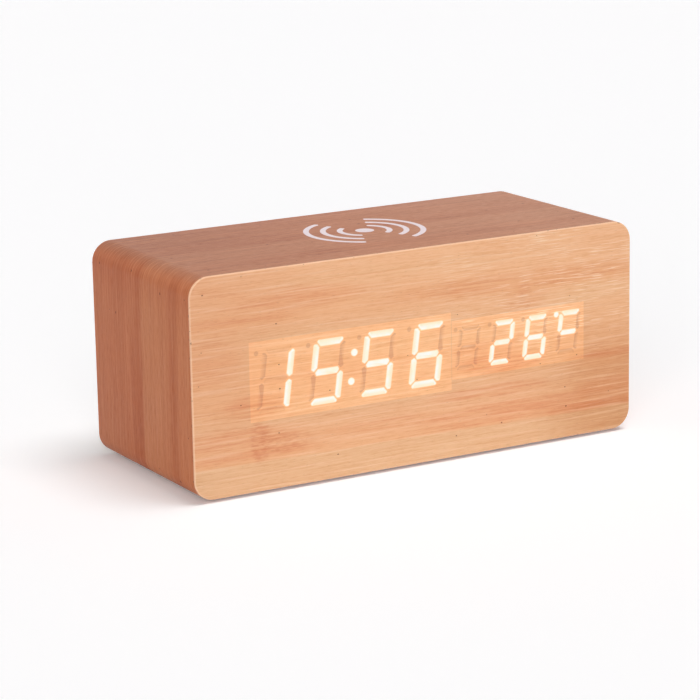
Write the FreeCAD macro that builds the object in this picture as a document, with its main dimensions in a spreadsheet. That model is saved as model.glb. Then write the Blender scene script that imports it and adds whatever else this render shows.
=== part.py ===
import FreeCAD, Part
import math
import os
from types import SimpleNamespace

import Sketcher
from FreeCAD import Placement, Rotation, Vector

# A digital desk clock in a wood-look block, with a wireless charging pad in its top.
# Millimetres. The origin is the centre of the footprint on the surface that the feet
# rest on: +X is right as seen from the front, the display faces -Y and +Z is up.

SIZES = {
    # case
    "case_width": 160, "case_depth": 68, "case_height": 69, "corner_radius": 6.5,
    "film_thickness": 0.4, "glue_line": 0.03, "skin_thickness": 0.6, "wall": 5,
    "inner_corner": 1.5, "board_fit": 0.1, "back_board_thickness": 8,
    # feet
    "foot_height": 1, "foot_radius": 5, "foot_inset_x": 14, "foot_inset_y": 11,
    # displays, seen from the front
    "display_depth": 8, "display_board_thickness": 1, "window_fit": 0.06,
    "segment_depth": 7, "segment_fit": 0.05, "segment_gap": 0.3, "slant": 8,
    "time_trim": 0.2, "time_height": 25, "time_x": -24.6, "time_rise": 0,
    "time_digit_pitch": 18, "time_column_spacing": 9.45, "time_row_spacing": 9.15,
    "time_stroke": 2.05, "time_dot_radius": 1, "time_dot_x": 6.5, "time_dot_rise": 9.05,
    "colon_dot_radius": 1.2, "colon_rise": 4.5, "display_spacing": 0.2,
    "temperature_trim": 0.6, "temperature_height": 19,
    "temperature_rise": 0.3, "temperature_digit_pitch": 12.7,
    "temperature_column_spacing": 6.88, "temperature_row_spacing": 6.3,
    "temperature_stroke": 1.6, "temperature_dot_radius": 0.95,
    "temperature_dot_x": 4.7, "temperature_dot_rise": 6.4,
    "pin_width": 0.5, "pin_reach": 1.2, "pin_pitch": 5.08, "pin_row_inset": 1.5,
    # circuit boards and what is soldered to them
    "main_board_gap": 6.5, "main_board_height": 46, "board_thickness": 1.6,
    "main_screw_inset": 3.5, "main_screw_z": 18,
    "chip_width": 10, "chip_height": 1.5, "chip_x": -32,
    "crystal_radius": 1.5, "crystal_length": 8, "crystal_x": -20,
    "buzzer_radius": 6, "buzzer_height": 8.5, "buzzer_x": 30, "buzzer_bore": 1.5,
    "connector_width": 8, "connector_height": 5, "connector_depth": 6, "signal_x": -6,
    # screws
    "screw_radius": 1, "head_radius": 2, "head_height": 1.3,
    "screw_length": 5, "long_screw_length": 8, "pilot_fit": 0.05, "screw_hole_fit": 0.2,
    "cross_length": 2.8, "cross_width": 0.5, "cross_depth": 0.7,
    # control panel in the back
    "cover_width": 106, "cover_height": 30, "cover_thickness": 1.8, "cover_corner": 3,
    "cover_fit": 0.15, "cover_recess": 1.5, "cover_ledge_x": 7, "cover_ledge_z": 4,
    "cover_screw_inset": 3.5, "post_radius": 2.5, "post_height": 6, "post_x": 42,
    "control_board_width": 90, "control_board_height": 20,
    "set_x": 27, "button_pitch": 11, "button_radius": 3, "button_clearance": 0.3,
    "button_proud": 1, "button_flange_radius": 4.2, "button_flange_thickness": 1,
    "switch_width": 6, "switch_height": 3.5, "plunger_radius": 1.6, "plunger_depth": 2.3,
    "plunger_travel_room": 0.8,
    "usb_x": -18, "usb_width": 8, "usb_height": 3, "usb_wall": 0.35, "usb_setback": 0.2,
    "usb_hole_margin": 0.3, "usb_floor": 1, "usb_tongue_width": 5.6,
    "usb_tongue_thickness": 0.7, "usb_tongue_setback": 0.8,
    "microphone_x": -6, "microphone_radius": 3, "microphone_height": 5,
    "sound_hole_radius": 0.75, "sensor_x": -30, "sensor_radius": 1.3,
    "sensor_hole_radius": 2, "sensor_lead_radius": 0.25, "sensor_lead_spacing": 1.3,
    # wireless charger under the top
    "charge_x": 0.5, "charge_y": 0.3, "coil_inner_radius": 10.5, "coil_pitch": 1.1,
    "coil_turns": 10, "coil_wire_width": 0.8, "coil_thickness": 1.2,
    "ferrite_radius": 22.5, "ferrite_thickness": 1.2, "tape_thickness": 0.2,
    "pocket_clearance": 1.5, "retainer_length": 58, "retainer_width": 34,
    "retainer_thickness": 1.5, "retainer_screw_inset": 3,
    "lead_slot_length": 2, "lead_slot_width": 5, "lead_pitch": 2.2, "lead_bend": 0.6,
    "charger_gap": 1.7, "charger_width": 32, "charger_length": 36,
    "charger_thickness": 1.2, "spacer_radius": 2.2, "spacer_height": 3,
    "charger_screw_y": 13, "charger_chip_width": 5, "charger_chip_height": 1,
    "capacitor_width": 4, "capacitor_length": 5.7, "capacitor_height": 3.5,
    "capacitor_pitch": 6, "charger_connector_y": 12,
    "wire_radius": 0.6, "wire_pitch": 1.4, "power_run": 3.1,
    # printed charging symbol
    "ink_thickness": 0.05, "symbol_dot_radius": 3.05, "symbol_stroke": 1.85,
    "symbol_first_radius": 8, "symbol_pitch": 5.4, "symbol_half_angle": 67.5,
    "symbol_apex": 2, "symbol_turn": -2, "stroke_end_bulge": 0.45,
    # coin cell and its twist cap in the underside
    "battery_inset": 32, "battery_y": -3, "cup_flange_radius": 16.5, "cup_flange_thickness": 1.5,
    "cup_radius": 14.8, "cup_fit": 0.1, "cup_bore_radius": 12, "cup_roof": 1.2,
    "cap_clearance": 0.3, "cap_thickness": 3.6, "cap_setback": 0.2, "lug_width": 5.6,
    "lug_thickness": 1.2, "lug_reach": 1, "lug_gap": 0.2, "lug_open_angle": 40,
    "coin_slot_length": 13, "coin_slot_width": 1.8, "coin_slot_depth": 1.1,
    "cell_radius": 10, "cell_thickness": 3.2, "cell_clearance": 0.35, "contact_thickness": 0.5,
    "contact_width": 4, "contact_length": 14, "side_contact_thickness": 0.3,
}
DIGIT_COUNT = 4
PINS_PER_ROW = 6
CAPACITOR_COUNT = 4
BUTTONS = ("set", "up", "down")


# ---------------------------------------------------------------- sheet and formulas

class Measure:
    """A size of the sheet, or one worked out from sizes: its formula and its number."""

    def __init__(self, formula, number):
        self.formula = formula
        self.number = number

    def joined(self, sign, other, number):
        return Measure(f"({self.formula} {sign} {other.formula})", number)

    def __add__(self, other):
        other = measure(other)
        return self.joined("+", other, self.number + other.number)

    def __sub__(self, other):
        other = measure(other)
        return self.joined("-", other, self.number - other.number)

    def __mul__(self, other):
        other = measure(other)
        return self.joined("*", other, self.number * other.number)

    def __truediv__(self, other):
        other = measure(other)
        return self.joined("/", other, self.number / other.number)

    def __neg__(self):
        return Measure(f"(0 - {self.formula})", -self.number)

    def __radd__(self, other):
        return measure(other) + self

    def __rsub__(self, other):
        return measure(other) - self

    def __rmul__(self, other):
        return measure(other) * self


def measure(value):
    """A plain number as a measure; a measure stays as it is."""
    if isinstance(value, Measure):
        return value
    return Measure(f"({value})", float(value))


doc = FreeCAD.newDocument("desk_clock")
sheet = doc.addObject("Spreadsheet::Sheet", "sizes")
for row, (alias, value) in enumerate(SIZES.items(), start=1):
    sheet.set(f"A{row}", alias)
    sheet.set(f"B{row}", str(value))
    sheet.setAlias(f"B{row}", alias)
doc.recompute()
S = SimpleNamespace(**{alias: Measure(f"sizes.{alias}", float(sheet.get(alias))) for alias in SIZES})

parts = []


def finished(item, label):
    """Names a sub-part and notes it for writing."""
    item.Label = label
    parts.append(item)
    return item


def bind(item, prop, value):
    item.setExpression(prop, measure(value).formula)


def evenly_spaced(count, pitch):
    """Shifts of a row of equal steps about its middle."""
    return [(i - (count - 1) / 2) * pitch for i in range(count)]


def place(item, x=0, y=0, z=0):
    bind(item, "Placement.Base.x", x)
    bind(item, "Placement.Base.y", y)
    bind(item, "Placement.Base.z", z)


# ---------------------------------------------------------------- solids from primitives

TO_AXIS = {"Z": Rotation(), "Y": Rotation(Vector(1, 0, 0), -90)}


def block(name, x, y, z, width, depth, height):
    """A rectangular solid from its low corner."""
    item = doc.addObject("Part::Box", name)
    bind(item, "Length", width)
    bind(item, "Width", depth)
    bind(item, "Height", height)
    place(item, x, y, z)
    return item


def plate(name, x, y, z, width, depth, height):
    """A block that is centred on x and z, and starts at y."""
    return block(name, x - width / 2, y, z - height / 2, width, depth, height)


def slab(name, x, y, z, width, depth, height):
    """A block that is centred on x and y, and starts at z."""
    return block(name, x - width / 2, y - depth / 2, z, width, depth, height)


def rod(name, x, y, z, radius, length, axis="Z"):
    """A cylinder from the centre of its low end."""
    item = doc.addObject("Part::Cylinder", name)
    item.Placement = Placement(Vector(), TO_AXIS[axis])
    bind(item, "Radius", radius)
    bind(item, "Height", length)
    place(item, x, y, z)
    return item


def fused(name, items):
    item = doc.addObject("Part::MultiFuse", name)
    item.Shapes = items
    return item


def common(name, items):
    item = doc.addObject("Part::MultiCommon", name)
    item.Shapes = items
    return item


def cut(name, base, tools):
    item = doc.addObject("Part::Cut", name)
    item.Base = base
    item.Tool = tools[0] if len(tools) == 1 else fused(name + "_tools", tools)
    return item


def group(name, items):
    item = doc.addObject("Part::Compound", name)
    item.Links = items
    return item


# ---------------------------------------------------------------- sketched solids

def new_body(name):
    return doc.addObject("PartDesign::Body", name)


def sketch_on(body, name, plane, offset):
    """A sketch on one of the body's own origin planes, moved along that plane's normal."""
    sketch = body.newObject("Sketcher::SketchObject", name)
    support = next(item for item in body.Origin.OriginFeatures if item.Role == plane)
    sketch.AttachmentSupport = [(support, "")]
    sketch.MapMode = "FlatFace"
    bind(sketch, "AttachmentOffset.Base.z", offset)
    return sketch


def front_sketch(body, name, y):
    """A sketch seen from the front, at depth y; its pads grow towards -Y."""
    return sketch_on(body, name, "XZ_Plane", -measure(y))


def plan_sketch(body, name, z):
    """A sketch seen from above, at height z; its pads grow upwards."""
    return sketch_on(body, name, "XY_Plane", z)


def constrain(sketch, kind, *references, value):
    """A dimension with its formula."""
    value = measure(value)
    index = sketch.addConstraint(Sketcher.Constraint(kind, *references, value.number))
    sketch.setExpression(f"Constraints[{index}]", value.formula)


def add_circle(sketch, x, y, radius):
    x, y, radius = measure(x), measure(y), measure(radius)
    circle = Part.Circle(Vector(x.number, y.number, 0), Vector(0, 0, 1), radius.number)
    index = sketch.addGeometry(circle, False)
    constrain(sketch, "Radius", index, value=radius)
    constrain(sketch, "DistanceX", -1, 1, index, 3, value=x)
    constrain(sketch, "DistanceY", -1, 1, index, 3, value=y)


def add_rectangle(sketch, x, y, width, height):
    """A rectangle about x, y."""
    left, low = measure(x - width / 2), measure(y - height / 2)
    right, top = left.number + measure(width).number, low.number + measure(height).number
    corners = [
        Vector(left.number, low.number, 0), Vector(right, low.number, 0),
        Vector(right, top, 0), Vector(left.number, top, 0),
    ]
    sides = [
        sketch.addGeometry(Part.LineSegment(corners[i], corners[(i + 1) % 4]), False)
        for i in range(4)
    ]
    for i in range(4):
        sketch.addConstraint(Sketcher.Constraint("Coincident", sides[i], 2, sides[(i + 1) % 4], 1))
        kind = "Horizontal" if i % 2 == 0 else "Vertical"
        sketch.addConstraint(Sketcher.Constraint(kind, sides[i]))
    constrain(sketch, "DistanceX", sides[0], 1, sides[0], 2, value=width)
    constrain(sketch, "DistanceY", sides[1], 1, sides[1], 2, value=height)
    constrain(sketch, "DistanceX", -1, 1, sides[0], 1, value=left)
    constrain(sketch, "DistanceY", -1, 1, sides[0], 1, value=low)


def add_rounded_rectangle(sketch, x, y, width, height, radius):
    """A rectangle about x, y with four equal round corners."""
    width, height, radius = measure(width), measure(height), measure(radius)
    left, low = measure(x - width / 2), measure(y - height / 2)
    r = radius.number
    x0, y0 = left.number, low.number
    x1, y1 = x0 + width.number, y0 + height.number
    ends = [
        (Vector(x0 + r, y0, 0), Vector(x1 - r, y0, 0)), (Vector(x1, y0 + r, 0), Vector(x1, y1 - r, 0)),
        (Vector(x1 - r, y1, 0), Vector(x0 + r, y1, 0)), (Vector(x0, y1 - r, 0), Vector(x0, y0 + r, 0)),
    ]
    centres = [(x1 - r, y0 + r), (x1 - r, y1 - r), (x0 + r, y1 - r), (x0 + r, y0 + r)]
    sides = [sketch.addGeometry(Part.LineSegment(start, end), False) for start, end in ends]
    corners = []
    for quarter, (cx, cy) in enumerate(centres):
        circle = Part.Circle(Vector(cx, cy, 0), Vector(0, 0, 1), r)
        start = (quarter - 1) * math.pi / 2
        corners.append(sketch.addGeometry(Part.ArcOfCircle(circle, start, start + math.pi / 2), False))
    for i in range(4):
        sketch.addConstraint(Sketcher.Constraint("Tangent", sides[i], 2, corners[i], 1))
        sketch.addConstraint(Sketcher.Constraint("Tangent", corners[i], 2, sides[(i + 1) % 4], 1))
        kind = "Horizontal" if i % 2 == 0 else "Vertical"
        sketch.addConstraint(Sketcher.Constraint(kind, sides[i]))
    for i in range(3):
        sketch.addConstraint(Sketcher.Constraint("Equal", corners[i], corners[i + 1]))
    constrain(sketch, "Radius", corners[0], value=radius)
    constrain(sketch, "DistanceX", sides[3], 1, sides[1], 1, value=width)
    constrain(sketch, "DistanceY", sides[0], 1, sides[2], 1, value=height)
    constrain(sketch, "DistanceX", -1, 1, sides[3], 1, value=left)
    constrain(sketch, "DistanceY", -1, 1, sides[0], 1, value=low)


def pad(body, sketch, length, reverse=False):
    item = body.newObject("PartDesign::Pad", sketch.Name + "_pad")
    item.Profile = sketch
    item.Reversed = reverse
    bind(item, "Length", length)
    body.Tip = item
    return item


def pocket(body, sketch, length, reverse=False):
    """Cuts against the sketch's normal, or along it when reversed."""
    item = body.newObject("PartDesign::Pocket", sketch.Name + "_cut")
    item.Profile = sketch
    item.Reversed = reverse
    bind(item, "Length", length)
    body.Tip = item
    return item


# ---------------------------------------------------------------- screws

def screw(name, x, y, z, towards, length):
    """A pan-head screw: x, y, z is under its head, and its shank points along towards."""
    axis, sign = towards[1], -1 if towards[0] == "-" else 1

    def at(distance):
        """The point that lies the distance up the axis from the head's underside."""
        return (x, y + distance, z) if axis == "Y" else (x, y, z + distance)

    head_start = -S.head_height if sign > 0 else 0
    shank_start = 0 if sign > 0 else -length
    cross_start = -S.head_height if sign > 0 else S.head_height - S.cross_depth
    head = rod(name + "_head", *at(head_start), S.head_radius, S.head_height, axis)
    shank = rod(name + "_shank", *at(shank_start), S.screw_radius, length, axis)
    centre = [measure(value) for value in at(cross_start)]
    arms = []
    for turn, sides in enumerate([(S.cross_length, S.cross_width), (S.cross_width, S.cross_length)]):
        arm_name = f"{name}_arm{turn}"
        if axis == "Z":
            arms.append(slab(arm_name, *centre, *sides, S.cross_depth))
        else:
            arms.append(plate(arm_name, *centre, sides[0], S.cross_depth, sides[1]))
    return cut(name, fused(name + "_blank", [head, shank]), arms)


# ---------------------------------------------------------------- shared places

Z_MID = S.foot_height + S.case_height / 2
Z_TOP = S.foot_height + S.case_height
Y_SKIN = S.skin_thickness - S.case_depth / 2
Y_BACK_FILM = S.case_depth / 2 - S.film_thickness
TUBE_OUTSET = S.film_thickness + S.glue_line
TUBE_WIDTH = S.case_width - 2 * TUBE_OUTSET
TUBE_HEIGHT = S.case_height - 2 * TUBE_OUTSET
INNER_WIDTH = TUBE_WIDTH - 2 * S.wall
INNER_HEIGHT = TUBE_HEIGHT - 2 * S.wall
Z_CEILING = Z_TOP - TUBE_OUTSET - S.wall
Y_FRONT_BOARD_BACK = Y_SKIN + S.display_depth + S.display_board_thickness
Y_MAIN_BOARD_BACK = Y_FRONT_BOARD_BACK + S.board_thickness
Y_BACK_BOARD_FRONT = Y_BACK_FILM - S.back_board_thickness
Y_COVER_OUT = S.case_depth / 2 - S.cover_recess
Y_COVER_IN = Y_COVER_OUT - S.cover_thickness
Y_CONTROL_BACK = Y_COVER_IN - S.post_height
Y_CONTROL_FRONT = Y_CONTROL_BACK - S.board_thickness
PILOT_RADIUS = S.screw_radius + S.pilot_fit
SCREW_HOLE_RADIUS = S.screw_radius + S.screw_hole_fit

# Each display module is as wide as its four digits; the second stands beside the first.
TIME_WIDTH = DIGIT_COUNT * S.time_digit_pitch - S.time_trim
TEMPERATURE_WIDTH = DIGIT_COUNT * S.temperature_digit_pitch - S.temperature_trim
TEMPERATURE_X = S.time_x + TIME_WIDTH / 2 + S.display_spacing + TEMPERATURE_WIDTH / 2
DISPLAYS = {
    "time": SimpleNamespace(x=S.time_x, z=Z_MID + S.time_rise, width=TIME_WIDTH,
                            height=S.time_height),
    "temperature": SimpleNamespace(x=TEMPERATURE_X, z=Z_MID + S.temperature_rise,
                                   width=TEMPERATURE_WIDTH, height=S.temperature_height),
}

MAIN_BOARD_WIDTH = INNER_WIDTH - 2 * S.main_board_gap
MAIN_SCREW_X = MAIN_BOARD_WIDTH / 2 - S.main_screw_inset
MAIN_SCREWS = [(sx * MAIN_SCREW_X, Z_MID + sz * S.main_screw_z) for sx in (-1, 1) for sz in (-1, 1)]
COVER_SCREW_X = S.cover_width / 2 - S.cover_screw_inset
COVER_SCREW_Z = S.cover_height / 2 - S.cover_screw_inset
COVER_SCREWS = [(sx * COVER_SCREW_X, Z_MID + sz * COVER_SCREW_Z) for sx in (-1, 1) for sz in (-1, 1)]
POSTS = [-S.post_x, S.post_x]
RETAINER_SCREWS = [
    (S.charge_x + sx * (S.retainer_length / 2 - S.retainer_screw_inset),
     S.charge_y + sy * (S.retainer_width / 2 - S.retainer_screw_inset))
    for sx in (-1, 1) for sy in (-1, 1)
]
CHARGER_LEFT = S.charge_x + S.retainer_length / 2 + S.charger_gap
CHARGER_X = CHARGER_LEFT + S.charger_width / 2
POWER_X = CHARGER_LEFT + S.connector_width / 2
Y_CONTROL_HEADERS = Y_CONTROL_FRONT - S.connector_depth
CHARGER_HEADER_Y = Y_CONTROL_HEADERS - S.power_run
CHARGER_Y = CHARGER_HEADER_Y - S.charger_connector_y
CHARGER_SCREWS = [(CHARGER_X, CHARGER_Y + sy * S.charger_screw_y) for sy in (-1, 1)]
BATTERY_X = S.case_width / 2 - S.battery_inset
POCKET_RADIUS = S.ferrite_radius + S.pocket_clearance
POCKET_DEPTH = S.coil_thickness + S.ferrite_thickness + S.tape_thickness
LEAD_DROP_X = S.charge_x + S.ferrite_radius + S.pocket_clearance / 2
Z_RETAINER = Z_CEILING - S.retainer_thickness
Z_CHARGER_TOP = Z_CEILING - S.spacer_height
Z_CHARGER_UNDER = Z_CHARGER_TOP - S.charger_thickness


# ---------------------------------------------------------------- case

def build_case_tube():
    """The board sleeve of the case, milled for the coil, the coin cell and the screws."""
    body = new_body("case_tube")
    ring = front_sketch(body, "tube_ring", Y_BACK_FILM)
    add_rounded_rectangle(ring, 0, Z_MID, TUBE_WIDTH, TUBE_HEIGHT, S.corner_radius - TUBE_OUTSET)
    add_rounded_rectangle(ring, 0, Z_MID, INNER_WIDTH, INNER_HEIGHT, S.inner_corner)
    pad(body, ring, Y_BACK_FILM - Y_SKIN)
    coil = plan_sketch(body, "tube_coil", Z_CEILING)
    add_circle(coil, S.charge_x, S.charge_y, POCKET_RADIUS)
    pocket(body, coil, POCKET_DEPTH, reverse=True)
    retainer = plan_sketch(body, "tube_retainer", Z_CEILING)
    for x, y in RETAINER_SCREWS:
        add_circle(retainer, x, y, PILOT_RADIUS)
    pocket(body, retainer, S.screw_length - S.retainer_thickness + S.screw_hole_fit, reverse=True)
    charger = plan_sketch(body, "tube_charger", Z_CEILING)
    for x, y in CHARGER_SCREWS:
        add_circle(charger, x, y, PILOT_RADIUS)
    reach = S.long_screw_length - S.charger_thickness - S.spacer_height
    pocket(body, charger, reach + S.screw_hole_fit, reverse=True)
    flange = plan_sketch(body, "tube_flange", S.foot_height)
    add_circle(flange, BATTERY_X, S.battery_y, S.cup_flange_radius + S.cup_fit)
    pocket(body, flange, S.cup_flange_thickness, reverse=True)
    bore = plan_sketch(body, "tube_bore", S.foot_height)
    add_circle(bore, BATTERY_X, S.battery_y, S.cup_radius + S.cup_fit)
    pocket(body, bore, TUBE_OUTSET + S.wall, reverse=True)
    finished(body, "case_tube")


def build_wrap_veneer():
    """The wood-grain film that is wrapped round the sleeve."""
    body = new_body("wrap_veneer")
    ring = front_sketch(body, "wrap_ring", Y_BACK_FILM)
    add_rounded_rectangle(ring, 0, Z_MID, S.case_width, S.case_height, S.corner_radius)
    add_rounded_rectangle(ring, 0, Z_MID, S.case_width - 2 * S.film_thickness,
                          S.case_height - 2 * S.film_thickness,
                          S.corner_radius - S.film_thickness)
    pad(body, ring, Y_BACK_FILM - Y_SKIN)
    hole = plan_sketch(body, "wrap_hole", S.foot_height)
    add_circle(hole, BATTERY_X, S.battery_y, S.cup_flange_radius + S.cup_fit)
    pocket(body, hole, S.cup_flange_thickness, reverse=True)
    finished(body, "wrap_veneer")


def build_front():
    """The front board with the display windows, and the thin veneer over all of it."""
    body = new_body("front_board")
    outline = front_sketch(body, "front_outline", Y_FRONT_BOARD_BACK)
    add_rounded_rectangle(outline, 0, Z_MID, INNER_WIDTH - 2 * S.board_fit,
                          INNER_HEIGHT - 2 * S.board_fit, S.inner_corner)
    pad(body, outline, Y_FRONT_BOARD_BACK - Y_SKIN)
    for name, module in DISPLAYS.items():
        window = front_sketch(body, f"front_{name}", Y_SKIN)
        add_rectangle(window, module.x, module.z, module.width + 2 * S.window_fit,
                      module.height + 2 * S.window_fit)
        pocket(body, window, Y_FRONT_BOARD_BACK - Y_SKIN)
    pilots = front_sketch(body, "front_pilots", Y_FRONT_BOARD_BACK)
    for x, z in MAIN_SCREWS:
        add_circle(pilots, x, z, PILOT_RADIUS)
    pocket(body, pilots, S.screw_length - S.board_thickness + S.screw_hole_fit, reverse=True)
    finished(body, "front_board")

    skin = new_body("front_veneer")
    face = front_sketch(skin, "skin_face", Y_SKIN)
    add_rounded_rectangle(face, 0, Z_MID, S.case_width, S.case_height, S.corner_radius)
    pad(skin, face, S.skin_thickness)
    finished(skin, "front_veneer")


def build_back():
    """The back board with its stepped window, and the film over the back."""
    recess_width = S.cover_width + 2 * S.cover_fit
    recess_height = S.cover_height + 2 * S.cover_fit
    recess_corner = S.cover_corner + S.cover_fit
    body = new_body("back_board")
    outline = front_sketch(body, "back_outline", Y_BACK_FILM)
    add_rounded_rectangle(outline, 0, Z_MID, INNER_WIDTH - 2 * S.board_fit,
                          INNER_HEIGHT - 2 * S.board_fit, S.inner_corner)
    pad(body, outline, S.back_board_thickness)
    recess = front_sketch(body, "back_recess", Y_BACK_FILM)
    add_rounded_rectangle(recess, 0, Z_MID, recess_width, recess_height, recess_corner)
    pocket(body, recess, Y_BACK_FILM - Y_COVER_IN, reverse=True)
    window = front_sketch(body, "back_window", Y_BACK_BOARD_FRONT)
    add_rectangle(window, 0, Z_MID, S.cover_width - 2 * S.cover_ledge_x,
                  S.cover_height - 2 * S.cover_ledge_z)
    pocket(body, window, S.back_board_thickness)
    pilots = front_sketch(body, "back_pilots", Y_COVER_IN)
    for x, z in COVER_SCREWS:
        add_circle(pilots, x, z, PILOT_RADIUS)
    pocket(body, pilots, S.screw_length - S.cover_thickness + S.screw_hole_fit, reverse=True)
    finished(body, "back_board")

    film = new_body("back_veneer")
    face = front_sketch(film, "film_face", S.case_depth / 2)
    add_rounded_rectangle(face, 0, Z_MID, S.case_width, S.case_height, S.corner_radius)
    add_rounded_rectangle(face, 0, Z_MID, recess_width, recess_height, recess_corner)
    pad(film, face, S.film_thickness)
    finished(film, "back_veneer")


def build_feet():
    """Four round pads under the corners."""
    for side, sx in (("left", -1), ("right", 1)):
        for end, sy in (("front", -1), ("rear", 1)):
            x = sx * (S.case_width / 2 - S.foot_inset_x)
            y = sy * (S.case_depth / 2 - S.foot_inset_y)
            foot = rod(f"foot_{end}_{side}", x, y, 0, S.foot_radius, S.foot_height)
            finished(foot, f"foot_{end}_{side}")


# ---------------------------------------------------------------- displays

def bar(centre, half_length, half_width, upright, shear, depth):
    """One six-sided display segment, leaning with the digit."""
    tips = [(-half_length, 0), (half_width - half_length, half_width),
            (half_length - half_width, half_width), (half_length, 0),
            (half_length - half_width, -half_width), (half_width - half_length, -half_width)]
    if upright:
        tips = [(v, u) for u, v in tips]
    points = []
    for u, v in tips:
        rise = centre[1] + v
        points.append(Vector(centre[0] + u + rise * shear, 0, rise))
    face = Part.Face(Part.makePolygon(points + points[:1]))
    return face.extrude(Vector(0, depth, 0))


def digit(x, columns, rows, stroke, grow, gap, shear, depth):
    """The seven segments of one digit; grow widens them into their cavities."""
    half_width = stroke / 2 + grow
    flat = columns / 2 - gap + grow
    tall = rows / 2 - gap + grow
    solids = [bar((x, rise), flat, half_width, False, shear, depth) for rise in (-rows, 0, rows)]
    for side in (-1, 1):
        for rise in (-rows / 2, rows / 2):
            solids.append(bar((x + side * columns / 2, rise), tall, half_width, True, shear, depth))
    return solids


def dot(x, z, radius, depth):
    return Part.makeCylinder(radius, depth, Vector(x, 0, z), Vector(0, 1, 0))


def display_solids(kind, grow, depth):
    """Segments and dots of one display about its own centre, from y = 0 backwards."""
    def size(word):
        return getattr(S, f"{kind}_{word}").number

    shear = math.tan(math.radians(S.slant.number))
    pitch = size("digit_pitch")
    solids = []
    for x in evenly_spaced(DIGIT_COUNT, pitch):
        solids += digit(x, size("column_spacing"), size("row_spacing"), size("stroke"),
                        grow, S.segment_gap.number, shear, depth)
        solids.append(dot(x - size("dot_x"), size("dot_rise"), size("dot_radius") + grow, depth))
    if kind == "time":
        for rise in (-S.colon_rise.number, S.colon_rise.number):
            solids.append(dot(rise * shear, rise, S.colon_dot_radius.number + grow, depth))
    return Part.makeCompound(solids)


def solid_feature(name, shape):
    item = doc.addObject("Part::Feature", name)
    item.Shape = shape
    return item


def pin_places(kind):
    """Where one display's pins stand, from left to right in two rows."""
    module = DISPLAYS[kind]
    rise = module.height / 2 - S.pin_row_inset
    return [(module.x + shift, module.z + side * rise)
            for side in (-1, 1) for shift in evenly_spaced(PINS_PER_ROW, S.pin_pitch)]


def build_display(kind):
    """A display module: housing, filled segments, its own board, and its pins."""
    module = DISPLAYS[kind]
    cavities = solid_feature(f"{kind}_cavities",
                             display_solids(kind, S.segment_fit.number, S.display_depth.number))
    place(cavities, module.x, Y_SKIN, module.z)
    housing = plate(f"{kind}_housing_block", module.x, Y_SKIN, module.z, module.width,
                    S.display_depth, module.height)
    finished(cut(f"{kind}_display_housing", housing, [cavities]), f"{kind}_display_housing")
    segments = solid_feature(f"{kind}_display_segments",
                             display_solids(kind, 0, S.segment_depth.number))
    place(segments, module.x, Y_SKIN, module.z)
    finished(segments, f"{kind}_display_segments")
    board = plate(f"{kind}_display_board", module.x, Y_SKIN + S.display_depth, module.z,
                  module.width, S.display_board_thickness, module.height)
    finished(board, f"{kind}_display_board")
    pins = [plate(f"{kind}_pin{i}", px, Y_FRONT_BOARD_BACK, pz, S.pin_width,
                  S.board_thickness + S.pin_reach, S.pin_width)
            for i, (px, pz) in enumerate(pin_places(kind))]
    finished(group(f"{kind}_display_pins", pins), f"{kind}_display_pins")


# ---------------------------------------------------------------- main board

def build_main_board():
    board = plate("main_board_blank", measure(0), Y_FRONT_BOARD_BACK, Z_MID,
                  MAIN_BOARD_WIDTH, S.board_thickness, S.main_board_height)
    holes = [rod(f"main_hole{i}", x, Y_FRONT_BOARD_BACK, z, SCREW_HOLE_RADIUS, S.board_thickness, "Y")
             for i, (x, z) in enumerate(MAIN_SCREWS)]
    pins = pin_places("time") + pin_places("temperature")
    holes += [rod(f"pin_hole{i}", x, Y_FRONT_BOARD_BACK, z, S.pin_width, S.board_thickness, "Y")
              for i, (x, z) in enumerate(pins)]
    finished(cut("main_board", board, holes), "main_board")
    screws = [screw(f"main_screw{i}", x, Y_MAIN_BOARD_BACK, z, "-Y", S.screw_length)
              for i, (x, z) in enumerate(MAIN_SCREWS)]
    finished(group("main_board_screws", screws), "main_board_screws")
    chip = plate("clock_chip", S.chip_x, Y_MAIN_BOARD_BACK, Z_MID, S.chip_width, S.chip_height,
                 S.chip_width)
    finished(chip, "clock_chip")
    crystal = rod("crystal", S.crystal_x, Y_MAIN_BOARD_BACK + S.crystal_radius,
                  Z_MID - S.crystal_length / 2, S.crystal_radius, S.crystal_length)
    finished(crystal, "crystal")
    can = rod("buzzer_can", S.buzzer_x, Y_MAIN_BOARD_BACK, Z_MID, S.buzzer_radius,
              S.buzzer_height, "Y")
    bore = rod("buzzer_bore_cut", S.buzzer_x, Y_MAIN_BOARD_BACK + S.buzzer_height / 2, Z_MID,
               S.buzzer_bore, S.buzzer_height / 2, "Y")
    finished(cut("buzzer", can, [bore]), "buzzer")
    connector = plate("main_connector", S.signal_x, Y_MAIN_BOARD_BACK, Z_MID, S.connector_width,
                      S.connector_depth, S.connector_height)
    finished(connector, "main_connector")


# ---------------------------------------------------------------- wires

def rounded_path(points, bend):
    """Straight runs through the points, joined by tangent arcs of one radius."""
    edges = []
    start = points[0]
    for before, corner, after in zip(points, points[1:], points[2:]):
        back = (before - corner).normalize()
        ahead = (after - corner).normalize()
        half_angle = back.getAngle(ahead) / 2
        reach = bend / math.tan(half_angle)
        arc_start = corner + back * reach
        arc_end = corner + ahead * reach
        inward = (back + ahead).normalize()
        middle = corner + inward * (bend / math.sin(half_angle) - bend)
        edges.append(Part.LineSegment(start, arc_start).toShape())
        edges.append(Part.Arc(arc_start, middle, arc_end).toShape())
        start = arc_end
    edges.append(Part.LineSegment(start, points[-1]).toShape())
    return Part.Wire(edges)


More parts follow.
